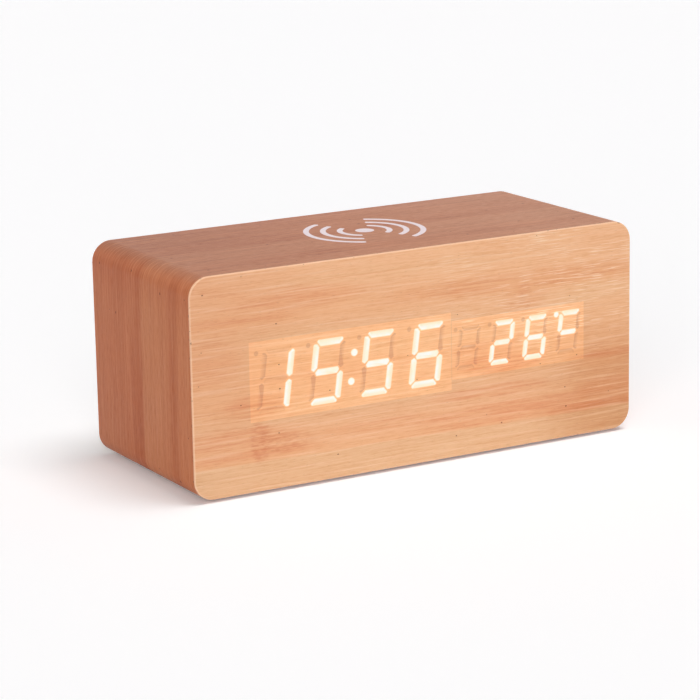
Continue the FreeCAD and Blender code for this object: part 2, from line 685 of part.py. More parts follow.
def wire_bundle(points, bend, radius, pitch, count):
    """Round wires side by side along X on one path that starts along Y."""
    solids = []
    for step in evenly_spaced(count, pitch):
        shift = Vector(step, 0, 0)
        path = rounded_path([point + shift for point in points], bend)
        ring = Part.Wire(Part.makeCircle(radius, points[0] + shift, points[1] - points[0]))
        solids.append(path.makePipeShell([ring], True, False))
    return Part.makeCompound(solids)


def build_harness():
    """The signal and supply wires between the boards."""
    y_start = (Y_MAIN_BOARD_BACK + S.connector_depth).number
    y_end = Y_CONTROL_HEADERS.number
    span = y_end - y_start
    x, z = S.signal_x.number, Z_MID.number
    dip = span / 5
    route = [(0, 0), (0.22, 0), (0.42, -dip), (0.58, -dip), (0.78, 0), (1, 0)]
    points = [Vector(x, y_start + share * span, z + rise) for share, rise in route]
    bundle = wire_bundle(points, span / 12, S.wire_radius.number, S.wire_pitch.number, 5)
    finished(solid_feature("signal_ribbon", bundle), "signal_ribbon")
    header_y = CHARGER_HEADER_Y.number
    z_end = (Z_CHARGER_UNDER - S.connector_height).number
    x = POWER_X.number
    points = [Vector(x, y_end, z), Vector(x, header_y, z), Vector(x, header_y, z_end)]
    bundle = wire_bundle(points, (y_end - header_y) * 0.7, S.wire_radius.number,
                         S.wire_pitch.number, 2)
    finished(solid_feature("power_lead", bundle), "power_lead")


# ---------------------------------------------------------------- control panel

def build_control_cover():
    """The moulded panel in the back, with its holes and its two board posts."""
    body = new_body("control_cover")
    face = front_sketch(body, "cover_face", Y_COVER_OUT)
    add_rounded_rectangle(face, 0, Z_MID, S.cover_width, S.cover_height, S.cover_corner)
    pad(body, face, S.cover_thickness)
    posts = front_sketch(body, "cover_posts", Y_COVER_IN)
    for x in POSTS:
        add_circle(posts, x, Z_MID, S.post_radius)
    pad(body, posts, S.post_height)
    holes = front_sketch(body, "cover_holes", Y_COVER_IN)
    for x, z in COVER_SCREWS:
        add_circle(holes, x, z, SCREW_HOLE_RADIUS)
    for number in range(len(BUTTONS)):
        add_circle(holes, S.set_x - number * S.button_pitch, Z_MID,
                   S.button_radius + S.button_clearance)
    add_circle(holes, S.microphone_x, Z_MID, S.sound_hole_radius)
    add_circle(holes, S.sensor_x, Z_MID, S.sensor_hole_radius)
    pocket(body, holes, S.cover_thickness)
    port = front_sketch(body, "cover_port", Y_COVER_IN)
    add_rectangle(port, S.usb_x, Z_MID, S.usb_width + 2 * S.usb_hole_margin,
                  S.usb_height + 2 * S.usb_hole_margin)
    pocket(body, port, S.cover_thickness)
    pilots = front_sketch(body, "cover_pilots", Y_CONTROL_BACK)
    for x in POSTS:
        add_circle(pilots, x, Z_MID, PILOT_RADIUS)
    pocket(body, pilots, S.screw_length - S.board_thickness + S.screw_hole_fit)
    finished(body, "control_cover")
    screws = [screw(f"cover_screw{i}", x, Y_COVER_OUT, z, "-Y", S.screw_length)
              for i, (x, z) in enumerate(COVER_SCREWS)]
    finished(group("control_cover_screws", screws), "control_cover_screws")


def build_control_board():
    board = plate("control_board_blank", measure(0), Y_CONTROL_FRONT, Z_MID,
                  S.control_board_width, S.board_thickness, S.control_board_height)
    holes = [rod(f"control_hole{i}", x, Y_CONTROL_FRONT, Z_MID, SCREW_HOLE_RADIUS,
                 S.board_thickness, "Y") for i, x in enumerate(POSTS)]
    finished(cut("control_board", board, holes), "control_board")
    screws = [screw(f"control_screw{i}", x, Y_CONTROL_FRONT, Z_MID, "+Y", S.screw_length)
              for i, x in enumerate(POSTS)]
    finished(group("control_board_screws", screws), "control_board_screws")
    headers = [plate(f"control_header{i}", x, Y_CONTROL_HEADERS, Z_MID,
                     S.connector_width, S.connector_depth, S.connector_height)
               for i, x in enumerate((S.signal_x, POWER_X))]
    finished(group("control_connectors", headers), "control_connectors")


def build_buttons():
    """Three tact switches on the board, each with a plunger and a cap that move together."""
    plunger_top = Y_COVER_IN - S.button_clearance - S.button_flange_thickness
    switch_top = Y_CONTROL_BACK + S.switch_height
    housings = []
    for number, name in enumerate(BUTTONS):
        x = S.set_x - number * S.button_pitch
        shell = plate(f"{name}_switch_block", x, Y_CONTROL_BACK, Z_MID, S.switch_width,
                      S.switch_height, S.switch_width)
        bore_depth = S.plunger_depth - (plunger_top - switch_top) + S.plunger_travel_room
        bore = rod(f"{name}_switch_bore", x, switch_top - bore_depth, Z_MID,
                   S.plunger_radius + S.button_clearance, bore_depth, "Y")
        housings.append(cut(f"{name}_switch_housing", shell, [bore]))
        plunger = rod(f"{name}_switch_plunger", x, plunger_top - S.plunger_depth, Z_MID,
                      S.plunger_radius, S.plunger_depth, "Y")
        finished(plunger, f"{name}_switch_plunger")
        flange = rod(f"{name}_cap_flange", x, plunger_top, Z_MID, S.button_flange_radius,
                     S.button_flange_thickness, "Y")
        head = rod(f"{name}_cap_head", x, plunger_top, Z_MID, S.button_radius,
                   Y_COVER_OUT + S.button_proud - plunger_top, "Y")
        finished(fused(f"{name}_button_cap", [flange, head]), f"{name}_button_cap")
    finished(group("switch_housings", housings), "switch_housings")


def build_ports():
    """The supply socket, the microphone and the temperature sensor behind the panel."""
    length = Y_COVER_OUT - S.usb_setback - Y_CONTROL_BACK
    shell = plate("usb_block", S.usb_x, Y_CONTROL_BACK, Z_MID, S.usb_width, length, S.usb_height)
    throat = plate("usb_throat", S.usb_x, Y_CONTROL_BACK + S.usb_floor, Z_MID,
                   S.usb_width - 2 * S.usb_wall, length - S.usb_floor,
                   S.usb_height - 2 * S.usb_wall)
    finished(cut("usb_shell", shell, [throat]), "usb_shell")
    tongue = plate("usb_tongue", S.usb_x, Y_CONTROL_BACK + S.usb_floor, Z_MID,
                   S.usb_tongue_width, length - S.usb_floor - S.usb_tongue_setback,
                   S.usb_tongue_thickness)
    finished(tongue, "usb_tongue")
    microphone = rod("microphone", S.microphone_x, Y_CONTROL_BACK, Z_MID, S.microphone_radius,
                     S.microphone_height, "Y")
    finished(microphone, "microphone")
    y_bead = Y_COVER_IN + S.cover_thickness / 2
    bead = doc.addObject("Part::Sphere", "sensor_bead")
    bind(bead, "Radius", S.sensor_radius)
    place(bead, S.sensor_x, y_bead, Z_MID)
    leads = [rod(f"sensor_lead{i}", S.sensor_x + side * S.sensor_lead_spacing / 2, Y_CONTROL_BACK,
                 Z_MID, S.sensor_lead_radius, y_bead - Y_CONTROL_BACK, "Y")
             for i, side in enumerate((-1, 1))]
    finished(fused("temperature_sensor", [bead] + leads), "temperature_sensor")


# ---------------------------------------------------------------- wireless charger

def spiral_band(first_radius, pitch, turns, width):
    """A flat winding of half circles about two centres a half pitch apart, as a face."""
    def edge(offset):
        arcs = []
        for half in range(2 * turns):
            upper = half % 2 == 0
            centre = Vector(-pitch / 4 if upper else pitch / 4, 0, 0)
            radius = first_radius + half * pitch / 2 + offset
            side = 1 if upper else -1
            arcs.append(Part.Arc(centre + Vector(side * radius, 0, 0), centre + Vector(0, side * radius, 0),
                                 centre - Vector(side * radius, 0, 0)))
        return arcs

    inner, outer = edge(-width / 2), edge(width / 2)
    start = Part.LineSegment(inner[0].StartPoint, outer[0].StartPoint)
    end = Part.LineSegment(inner[-1].EndPoint, outer[-1].EndPoint)
    edges = [curve.toShape() for curve in inner + [end] + outer[::-1] + [start]]
    return Part.Face(Part.Wire(Part.__sortEdges__(edges)))


def build_charger():
    """The coil in its pocket, what holds it there, and the charger's board beside it."""
    band = spiral_band(S.coil_inner_radius.number, S.coil_pitch.number,
                       int(S.coil_turns.number), S.coil_wire_width.number)
    coil = solid_feature("charging_coil", band.extrude(Vector(0, 0, S.coil_thickness.number)))
    z_coil = Z_CEILING + POCKET_DEPTH - S.coil_thickness
    place(coil, S.charge_x, S.charge_y, z_coil)
    finished(coil, "charging_coil")
    ferrite = rod("ferrite_shield", S.charge_x, S.charge_y, z_coil - S.ferrite_thickness,
                  S.ferrite_radius, S.ferrite_thickness)
    finished(ferrite, "ferrite_shield")
    blank = slab("retainer_blank", S.charge_x, S.charge_y, Z_RETAINER, S.retainer_length,
                 S.retainer_width, S.retainer_thickness)
    holes = [rod(f"retainer_hole{i}", x, y, Z_RETAINER, SCREW_HOLE_RADIUS, S.retainer_thickness)
             for i, (x, y) in enumerate(RETAINER_SCREWS)]
    holes.append(slab("retainer_lead_slot", LEAD_DROP_X, S.charge_y, Z_RETAINER,
                      S.lead_slot_length, S.lead_slot_width, S.retainer_thickness))
    finished(cut("coil_retainer", blank, holes), "coil_retainer")
    screws = [screw(f"retainer_screw{i}", x, y, Z_RETAINER, "+Z", S.screw_length)
              for i, (x, y) in enumerate(RETAINER_SCREWS)]
    finished(group("coil_retainer_screws", screws), "coil_retainer_screws")

    board = slab("charger_blank", CHARGER_X, CHARGER_Y, Z_CHARGER_UNDER, S.charger_width,
                 S.charger_length, S.charger_thickness)
    holes = [rod(f"charger_hole{i}", x, y, Z_CHARGER_UNDER, SCREW_HOLE_RADIUS, S.charger_thickness)
             for i, (x, y) in enumerate(CHARGER_SCREWS)]
    finished(cut("charger_board", board, holes), "charger_board")
    spacers = []
    for i, (x, y) in enumerate(CHARGER_SCREWS):
        sleeve = rod(f"spacer_sleeve{i}", x, y, Z_CHARGER_TOP, S.spacer_radius, S.spacer_height)
        bore = rod(f"spacer_bore{i}", x, y, Z_CHARGER_TOP, SCREW_HOLE_RADIUS, S.spacer_height)
        spacers.append(cut(f"charger_spacer{i}", sleeve, [bore]))
    finished(group("charger_board_spacers", spacers), "charger_board_spacers")
    screws = [screw(f"charger_screw{i}", x, y, Z_CHARGER_UNDER, "+Z", S.long_screw_length)
              for i, (x, y) in enumerate(CHARGER_SCREWS)]
    finished(group("charger_board_screws", screws), "charger_board_screws")
    chip = slab("charger_chip", CHARGER_X, CHARGER_Y, Z_CHARGER_UNDER - S.charger_chip_height,
                S.charger_chip_width, S.charger_chip_width, S.charger_chip_height)
    finished(chip, "charger_chip")
    capacitors = [slab(f"capacitor{i}", CHARGER_X + S.charger_width / 2 - S.capacitor_width,
                       CHARGER_Y + shift, Z_CHARGER_UNDER - S.capacitor_height,
                       S.capacitor_width, S.capacitor_length, S.capacitor_height)
                  for i, shift in enumerate(evenly_spaced(CAPACITOR_COUNT, S.capacitor_pitch))]
    finished(group("charger_capacitors", capacitors), "charger_capacitors")
    header = slab("charger_connector", POWER_X, CHARGER_HEADER_Y,
                  Z_CHARGER_UNDER - S.connector_height, S.connector_width, S.connector_depth,
                  S.connector_height)
    finished(header, "charger_connector")
    build_coil_leads(z_coil)


def build_coil_leads(z_coil):
    """The coil's two ends, led down through the retainer's slot and on to the charger's board."""
    radius = S.coil_wire_width.number / 2
    last_turn = S.coil_inner_radius + S.coil_turns * S.coil_pitch - S.coil_pitch / 4
    x_coil = (S.charge_x + last_turn + S.coil_wire_width / 2 + S.glue_line).number
    x_drop = LEAD_DROP_X.number
    x_board = (CHARGER_LEFT + S.lead_pitch).number
    z_high = (z_coil + S.coil_thickness / 2).number
    z_low = (Z_RETAINER + Z_CHARGER_TOP).number / 2
    solids = []
    for side in (-1, 1):
        y = (S.charge_y + side * S.lead_pitch / 2).number
        points = [
            Vector(x_coil, y, z_high), Vector(x_drop, y, z_high), Vector(x_drop, y, z_low),
            Vector(x_board, y, z_low), Vector(x_board, y, Z_CHARGER_TOP.number),
        ]
        path = rounded_path(points, S.lead_bend.number)
        ring = Part.Wire(Part.makeCircle(radius, points[0], points[1] - points[0]))
        solids.append(path.makePipeShell([ring], True, False))
    finished(solid_feature("coil_leads", Part.makeCompound(solids)), "coil_leads")


def build_charging_symbol():
    """A dot and three pairs of arcs, printed over the coil."""
    slope = math.radians(S.symbol_half_angle.number)
    apex = S.symbol_apex.number
    height = Vector(0, 0, S.ink_thickness.number)

    def arc(radius, side):
        """The part of a circle that a wedge from beside the dot holds."""
        reach = math.sqrt(radius ** 2 - (apex * math.sin(slope)) ** 2) - apex * math.cos(slope)
        x, y = apex + reach * math.cos(slope), reach * math.sin(slope)
        return Part.Arc(Vector(side * x, -y, 0), Vector(side * radius, 0, 0), Vector(side * x, y, 0))

    def rounded_end(inner_end, outer_end, way):
        """The end of a stroke; it bulges anticlockwise for way 1 and clockwise for way -1."""
        across = outer_end - inner_end
        bulge = Vector(-across.y, across.x, 0).normalize() * (way * S.stroke_end_bulge.number)
        return Part.Arc(inner_end, (inner_end + outer_end) / 2 + bulge, outer_end)

    marks = [Part.makeCylinder(S.symbol_dot_radius.number, S.ink_thickness.number)]
    for ring in range(3):
        middle = (S.symbol_first_radius + ring * S.symbol_pitch).number
        half = S.symbol_stroke.number / 2
        for side in (-1, 1):
            inner, outer = arc(middle - half, side), arc(middle + half, side)
            ends = [rounded_end(inner.StartPoint, outer.StartPoint, -side),
                    rounded_end(inner.EndPoint, outer.EndPoint, side)]
            edges = [curve.toShape() for curve in [inner, outer] + ends]
            stroke = Part.Face(Part.Wire(Part.__sortEdges__(edges))).extrude(height)
            stroke.rotate(Vector(), Vector(0, 0, 1), S.symbol_turn.number)
            marks.append(stroke)
    symbol = solid_feature("charging_symbol", Part.makeCompound(marks))
    place(symbol, S.charge_x, S.charge_y, Z_TOP)
    finished(symbol, "charging_symbol")


# ---------------------------------------------------------------- coin cell

def battery_rod(name, z, radius, length):
    return rod(name, BATTERY_X, S.battery_y, z, radius, length)


def build_battery():
    """The cup that is set into the underside, its twist cap, the cell and its contacts."""
    z_cap = S.foot_height + S.cap_setback
    z_cap_top = z_cap + S.cap_thickness
    z_bore_top = z_cap_top + S.lug_gap
    z_groove = z_cap_top - S.lug_thickness - S.lug_gap
    z_cell = z_cap_top + S.cap_clearance
    z_cell_top = z_cell + S.cell_thickness
    z_roof = z_cell_top + S.contact_thickness
    cap_radius = S.cup_bore_radius - S.cap_clearance
    lug_radius = S.cup_bore_radius + S.lug_reach
    groove_radius = lug_radius + S.cap_clearance

    flange = battery_rod("cup_flange", S.foot_height, S.cup_flange_radius, S.cup_flange_thickness)
    shell = battery_rod("cup_shell", S.foot_height, S.cup_radius, z_roof + S.cup_roof - S.foot_height)
    bore = battery_rod("cup_bore", S.foot_height, S.cup_bore_radius, z_bore_top - S.foot_height)
    groove = battery_rod("cup_groove", z_groove, groove_radius, z_bore_top - z_groove)
    chamber = battery_rod("cup_chamber", z_bore_top, S.cell_radius + S.cell_clearance,
                          z_roof - z_bore_top)
    gate_width = S.lug_width + 2 * S.cap_clearance
    gate_bar = doc.addObject("Part::Box", "gate_bar")
    bind(gate_bar, "Length", 2 * groove_radius)
    bind(gate_bar, "Width", gate_width)
    bind(gate_bar, "Height", z_bore_top - S.foot_height)
    gate_bar.Placement = Placement(Vector(), Rotation(Vector(0, 0, 1), S.lug_open_angle.number))
    turn = math.radians(S.lug_open_angle.number)
    cos, sin = math.cos(turn), math.sin(turn)
    place(gate_bar, BATTERY_X - groove_radius * cos + gate_width / 2 * sin,
          S.battery_y - groove_radius * sin - gate_width / 2 * cos, S.foot_height)
    gate_disc = battery_rod("gate_disc", S.foot_height, groove_radius, z_bore_top - S.foot_height)
    gates = common("cup_gates", [gate_bar, gate_disc])
    cup = cut("battery_cup", fused("cup_blank", [flange, shell]), [bore, groove, chamber, gates])
    finished(cup, "battery_cup")

    disc = battery_rod("cap_disc", z_cap, cap_radius, S.cap_thickness)
    lug_bar = slab("lug_bar", BATTERY_X, S.battery_y, z_cap_top - S.lug_thickness,
                   2 * lug_radius, S.lug_width, S.lug_thickness)
    lug_disc = battery_rod("lug_disc", z_cap_top - S.lug_thickness, lug_radius, S.lug_thickness)
    slot = slab("coin_slot", BATTERY_X, S.battery_y, z_cap, S.coin_slot_length,
                S.coin_slot_width, S.coin_slot_depth)
    cap = cut("battery_cap", fused("cap_blank", [disc, common("cap_lugs", [lug_bar, lug_disc])]), [slot])
    finished(cap, "battery_cap")

    finished(battery_rod("coin_cell", z_cell, S.cell_radius, S.cell_thickness), "coin_cell")
    top = slab("cell_contact_top", BATTERY_X, S.battery_y, z_cell_top, S.contact_length,
               S.contact_width, S.contact_thickness)
    finished(top, "cell_contact_top")
    side = block("cell_contact_side", BATTERY_X + S.cell_radius, S.battery_y - S.contact_width / 4,
                 z_cell, S.side_contact_thickness, S.contact_width / 2, S.cell_thickness)
    finished(side, "cell_contact_side")


# ---------------------------------------------------------------- build and write

def check(item):
    """Stops the build at a failed, empty or invalid shape."""
    if "Invalid" in item.State or "Error" in item.State:
        raise RuntimeError(f"{item.Label} failed: {item.State}")


def main():
    build_case_tube()
    build_wrap_veneer()
    build_front()
    build_back()
    build_feet()
    build_display("time")
    build_display("temperature")
    build_main_board()
    build_harness()
    build_control_cover()
    build_control_board()
    build_buttons()
    build_ports()
    build_charger()
    build_charging_symbol()
    build_battery()
    doc.recompute()
    for item in doc.Objects:
        check(item)
    for item in parts:
        if item.Shape.isNull() or not item.Shape.isValid() or not item.Shape.Solids:
            raise RuntimeError(f"{item.Label} has no valid solid")
    os.makedirs("parts", exist_ok=True)
    for item in parts:
        item.Shape.exportStep(f"parts/{item.Label}.step")
        box = item.Shape.BoundBox
        print(f"{item.Label:32s} {len(item.Shape.Solids):3d} solids {item.Shape.Volume:12.1f} mm3  "
              f"x {box.XMin:8.2f} {box.XMax:8.2f}  y {box.YMin:7.2f} {box.YMax:7.2f}  "
              f"z {box.ZMin:7.2f} {box.ZMax:7.2f}")
    print(len(parts), "parts")


main()
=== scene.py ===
import math

import bpy
import numpy as np
from mathutils import Matrix, Vector
from mathutils.geometry import delaunay_2d_cdt


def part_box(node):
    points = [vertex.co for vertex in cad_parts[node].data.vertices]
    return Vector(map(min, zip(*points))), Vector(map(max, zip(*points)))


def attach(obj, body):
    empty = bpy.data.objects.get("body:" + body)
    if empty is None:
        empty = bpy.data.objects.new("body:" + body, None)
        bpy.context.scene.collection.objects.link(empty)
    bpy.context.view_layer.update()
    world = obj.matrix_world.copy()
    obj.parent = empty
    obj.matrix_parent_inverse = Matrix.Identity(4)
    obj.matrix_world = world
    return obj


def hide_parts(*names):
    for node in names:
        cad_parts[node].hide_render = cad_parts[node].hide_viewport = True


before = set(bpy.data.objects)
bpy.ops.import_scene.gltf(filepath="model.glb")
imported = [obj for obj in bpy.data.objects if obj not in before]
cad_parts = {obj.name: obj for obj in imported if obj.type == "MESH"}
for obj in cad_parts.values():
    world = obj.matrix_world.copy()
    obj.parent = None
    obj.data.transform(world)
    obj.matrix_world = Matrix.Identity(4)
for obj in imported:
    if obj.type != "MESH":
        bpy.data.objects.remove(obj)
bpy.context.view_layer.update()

# A desk clock in a wood-look block: light segments shine through the front veneer, and a
# wireless charging pad lies under the printed symbol on top. Everything is in metres in the
# clock's own frame: +X is right as seen from the front, the display faces -Y and +Z is up.

MM = 0.001

CORNER_RADIUS = 6.5 * MM
EDGE_ROUND = 0.35 * MM
FILM_THICKNESS = 0.4 * MM
CORNER_STEPS = 12

FRONT_LOW, FRONT_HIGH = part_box("front_veneer")
WRAP_LOW, WRAP_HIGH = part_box("wrap_veneer")
MIDDLE_Z = (FRONT_LOW.z + FRONT_HIGH.z) / 2

# ------------------------------------------------------------------ shader building blocks


def srgb(red, green, blue):
    """A colour given as 0 to 255 values, as the linear colour that a shader takes."""
    def linear(value):
        value /= 255
        return value / 12.92 if value <= 0.04045 else ((value + 0.055) / 1.055) ** 2.4
    return (linear(red), linear(green), linear(blue), 1)


class Nodes:
    """Adds nodes to one shader tree and joins them."""

    def __init__(self, tree):
        self.tree = tree

    def join(self, value, socket):
        """Joins another socket to this one, or sets it to a plain value."""
        if isinstance(value, bpy.types.NodeSocket):
            self.tree.links.new(value, socket)
        else:
            socket.default_value = value

    def add(self, kind, inputs=None, **settings):
        """A new node, with its inputs joined and its settings made."""
        made = self.tree.nodes.new("ShaderNode" + kind)
        for name, value in settings.items():
            setattr(made, name, value)
        for name, value in (inputs or {}).items():
            self.join(value, made.inputs[name])
        return made

    def math(self, operation, *values, clamp=False):
        """Arithmetic on one to three values."""
        return self.add("Math", dict(enumerate(values)), operation=operation,
                        use_clamp=clamp).outputs[0]

    def times(self, first, second, clamp=False):
        return self.math("MULTIPLY", first, second, clamp=clamp)

    def blend(self, factor, first, second, kind="MIX"):
        """The first colour at a factor of 0, the second at 1."""
        made = self.add("Mix", {0: factor, 6: first, 7: second}, data_type="RGBA", blend_type=kind)
        return made.outputs[2]

    def tinted(self, base, *tone):
        """The base multiplied by a colour given as 0 to 255 values."""
        return self.blend(1.0, base, srgb(*tone), "MULTIPLY")

    def smooth(self, value, low, high, to_low=0.0, to_high=1.0):
        """Goes softly from to_low at low to to_high at high."""
        made = self.add("MapRange", {"Value": value, "From Min": low, "From Max": high,
                                     "To Min": to_low, "To Max": to_high},
                        interpolation_type="SMOOTHSTEP")
        return made.outputs[0]

    def evened(self, noise, to_low=0.0, to_high=1.0):
        """Brings a noise, which mostly lies between 0.3 and 0.7, to another range."""
        return self.smooth(noise, 0.3, 0.7, to_low, to_high)

    def ramp(self, factor, stops):
        """A colour picked by a factor from stops: positions and colours."""
        made = self.add("ValToRGB", {"Fac": factor})
        elements = made.color_ramp.elements
        while len(elements) < len(stops):
            elements.new(0.5)
        for element, (position, colour) in zip(elements, stops):
            element.position = position
            element.color = colour
        return made.outputs[0]

    def noise(self, vector, detail=2.0):
        """Noise with one blob to a unit."""
        made = self.add("TexNoise", {"Vector": vector, "Scale": 1.0, "Detail": detail})
        return made.outputs[0]

    def spots(self, place, per_mm, detail=2.0):
        """Noise with this many blobs to a millimetre, given once or for each of x, y and z."""
        return self.noise(self.scaled(place, per_mm), detail)

    def stretched(self, along, long, across, wide, depth=0.0, detail=2.0):
        """Noise in a plane, its blobs long by wide millimetres; depth picks the pattern."""
        return self.noise(self.vector(self.math("DIVIDE", along, long),
                                      self.math("DIVIDE", across, wide), depth), detail)

    def vector(self, x=0.0, y=0.0, z=0.0):
        return self.add("CombineXYZ", {"X": x, "Y": y, "Z": z}).outputs[0]

    def scaled(self, vector, factor):
        factors = factor if isinstance(factor, tuple) else (factor,) * 3
        return self.add("VectorMath", {0: vector, 1: factors}, operation="MULTIPLY").outputs[0]

    def millimetres(self):
        """The point's place in the clock, in millimetres."""
        return self.scaled(self.add("TexCoord").outputs["Object"], 1 / MM)

    def attribute(self, name, output="Fac"):
        """What the mesh stores at each of its points."""
        return self.add("Attribute", attribute_name=name).outputs[output]

    def split(self, vector):
        return self.add("SeparateXYZ", {0: vector}).outputs

    def effect(self, name, **inputs):
        """One of the shared effects, with this material's values for its inputs."""
        made = self.tree.nodes.new("ShaderNodeGroup")
        made.node_tree = bpy.data.node_groups[name]
        for socket, value in inputs.items():
            self.join(value, made.inputs[socket.replace("_", " ")])
        return made.outputs


def shared_effect(name, inputs, outputs):
    """An empty node group with named inputs and outputs, ready to be filled."""
    tree = bpy.data.node_groups.new(name, "ShaderNodeTree")
    for socket, (kind, value) in inputs.items():
        made = tree.interface.new_socket(socket, in_out="INPUT", socket_type="NodeSocket" + kind)
        made.default_value = value
    for socket, kind in outputs.items():
        tree.interface.new_socket(socket, in_out="OUTPUT", socket_type="NodeSocket" + kind)
    nodes = Nodes(tree)
    return nodes, tree.nodes.new("NodeGroupInput").outputs, tree.nodes.new("NodeGroupOutput").inputs


MATERIALS = {}


def new_material(name):
    """Starts a finish: the builder for its nodes, and its surface shader.

    The frame's nodes already carry a bare material of their slot's name; it is filled here."""
    material = bpy.data.materials.get(name) or bpy.data.materials.new(name)
    material.use_nodes = True
    material.node_tree.nodes.clear()
    nodes = Nodes(material.node_tree)
    shader = nodes.add("BsdfPrincipled")
    output = nodes.add("OutputMaterial")
    nodes.join(shader.outputs[0], output.inputs["Surface"])
    MATERIALS[name] = material
    return nodes, shader


def set_surface(nodes, shader, colour, roughness, height=None, depth=0.05 * MM, **constants):
    """Joins a finish to the surface shader; depth is the relief's real depth."""
    nodes.join(colour, shader.inputs["Base Color"])
    nodes.join(roughness, shader.inputs["Roughness"])
    for name, value in constants.items():
        shader.inputs[name.replace("_", " ")].default_value = value
    if height is not None:
        bump = nodes.add("Bump", {"Height": height, "Strength": 1.0, "Distance": depth})
        nodes.join(bump.outputs[0], shader.inputs["Normal"])


def set_finish(nodes, shader, finish, depth, **constants):
    """Joins a shared effect's colour, roughness and relief to the surface shader."""
    set_surface(nodes, shader, finish["Color"], finish["Roughness"], finish["Height"], depth,
                **constants)


# ------------------------------------------------------------------ shared effects

def make_wood_grain():
    """Printed wood: long streaks, fine fibres, light dashes and dark pores along one way."""
    nodes, given, made = shared_effect(
        "wood_grain",
        {"Along": ("Float", 0.0), "Across": ("Float", 0.0), "Seed": ("Float", 0.0),
         "Base": ("Color", (0.7, 0.4, 0.2, 1)), "Streak": ("Color", (0.5, 0.25, 0.1, 1)),
         "Streak Amount": ("Float", 0.4), "Light": ("Color", (0.9, 0.7, 0.5, 1)),
         "Dash Amount": ("Float", 0.3), "Speck Amount": ("Float", 0.5),
         "Speck Size": ("Float", 1.0)},
        {"Color": "Color", "Roughness": "Float", "Height": "Float"})
    along, across, seed = given["Along"], given["Across"], given["Seed"]

    def stretched(long, wide, detail, shift, line=None):
        """Noise along the grain, or along a swaying line of it, that differs by seed and shift."""
        return nodes.stretched(along, long, line or across, wide, nodes.math("ADD", seed, shift),
                               detail)

    sway = nodes.math("MULTIPLY_ADD", stretched(70, 18, 1, 3.0), 1.6, -0.8)
    line = nodes.math("ADD", across, sway)
    broad = stretched(90, 2.6, 3, 11.0, line)
    narrow = stretched(20, 0.50, 3, 23.0, line)
    fibre = stretched(3.2, 0.22, 2, 31.0, line)
    streak = nodes.math("ADD", nodes.smooth(broad, 0.40, 0.68, 0.0, 0.20),
                        nodes.smooth(narrow, 0.40, 0.72, 0.0, 0.55))
    streak = nodes.math("ADD", streak, nodes.smooth(fibre, 0.35, 0.72, -0.24, 0.30), clamp=True)
    colour = nodes.blend(nodes.times(streak, given["Streak Amount"], clamp=True),
                         given["Base"], given["Streak"])
    pale = nodes.smooth(stretched(30, 0.9, 2, 41.0, line), 0.50, 0.70, 0.0, 0.28)
    colour = nodes.blend(pale, colour, given["Light"])
    patch = nodes.smooth(stretched(20, 7, 1, 47.0), 0.36, 0.56, 0.2, 1.0)
    dash = nodes.times(nodes.smooth(stretched(7.0, 0.30, 0, 59.0), 0.58, 0.70), patch)
    colour = nodes.blend(nodes.times(dash, given["Dash Amount"], clamp=True),
                         colour, given["Light"])
    place = nodes.vector(nodes.math("DIVIDE", along, 15.0), nodes.math("DIVIDE", across, 11.0))
    cells = nodes.add("TexVoronoi", {"Vector": place, "Scale": 1.0}, voronoi_dimensions="2D")
    pick, spread, _ = nodes.split(cells.outputs["Color"])
    chosen = nodes.math("GREATER_THAN", pick, 0.6)
    size = nodes.times(nodes.math("MULTIPLY_ADD", spread, 0.014, 0.009), given["Speck Size"])
    speck = nodes.times(nodes.math("LESS_THAN", cells.outputs["Distance"], size), chosen)
    pores = nodes.smooth(stretched(1.5, 0.17, 0, 71.0), 0.76, 0.82, 0.0, 0.35)
    speck = nodes.times(nodes.math("MAXIMUM", speck, pores), given["Speck Amount"], clamp=True)
    dark = nodes.tinted(colour, 150, 108, 94)
    nodes.join(nodes.blend(speck, colour, dark), made["Color"])
    nodes.join(nodes.evened(fibre, 0.44, 0.56), made["Roughness"])
    relief = nodes.math("MULTIPLY_ADD", fibre, 0.6, nodes.times(dash, 0.4))
    nodes.join(nodes.math("MULTIPLY_ADD", speck, -0.3, relief), made["Height"])


# The strips of the front, from the bottom edge up: height in millimetres, and colour.
FRONT_STRIPS = [
    (0.0, (227, 182, 140)), (8.5, (228, 183, 141)), (8.95, (231, 176, 132)),
    (12.0, (233, 179, 136)), (17.0, (233, 180, 137)), (21.0, (232, 181, 139)),
    (24.5, (233, 179, 135)), (28.0, (235, 180, 136)), (43.0, (236, 182, 138)),
    (49.0, (237, 184, 141)), (52.5, (235, 177, 132)), (56.0, (237, 182, 138)),
    (62.0, (238, 184, 141)), (69.0, (239, 185, 142)),
]
# Redder places: x, height above the bottom edge, half width, half height, strength.
RED_PLACES = [
    (-70.0, 17.0, 30.0, 3.6, 0.50), (-62.0, 11.3, 30.0, 1.8, 0.46), (-14.0, 14.6, 30.0, 2.2, 0.40),
    (44.0, 10.3, 48.0, 2.0, 0.55), (30.0, 13.4, 38.0, 2.8, 0.62), (72.0, 15.0, 15.0, 4.8, 0.34),
    (26.0, 20.0, 24.0, 2.6, 0.60), (72.0, 26.6, 18.0, 1.5, 0.60), (40.0, 54.6, 58.0, 3.4, 0.48),
    (-62.0, 53.8, 22.0, 1.8, 0.40), (-74.0, 41.0, 12.0, 8.0, 0.30), (38.0, 48.5, 9.0, 5.0, 0.33),
    (-30.0, 34.0, 40.0, 3.0, 0.23), (-58.0, 26.5, 12.0, 4.0, 0.62), (30.0, 28.8, 19.0, 3.8, 0.85),
    (26.0, 34.0, 16.0, 2.6, 0.45), (-42.0, 58.5, 26.0, 4.0, 0.50),
]
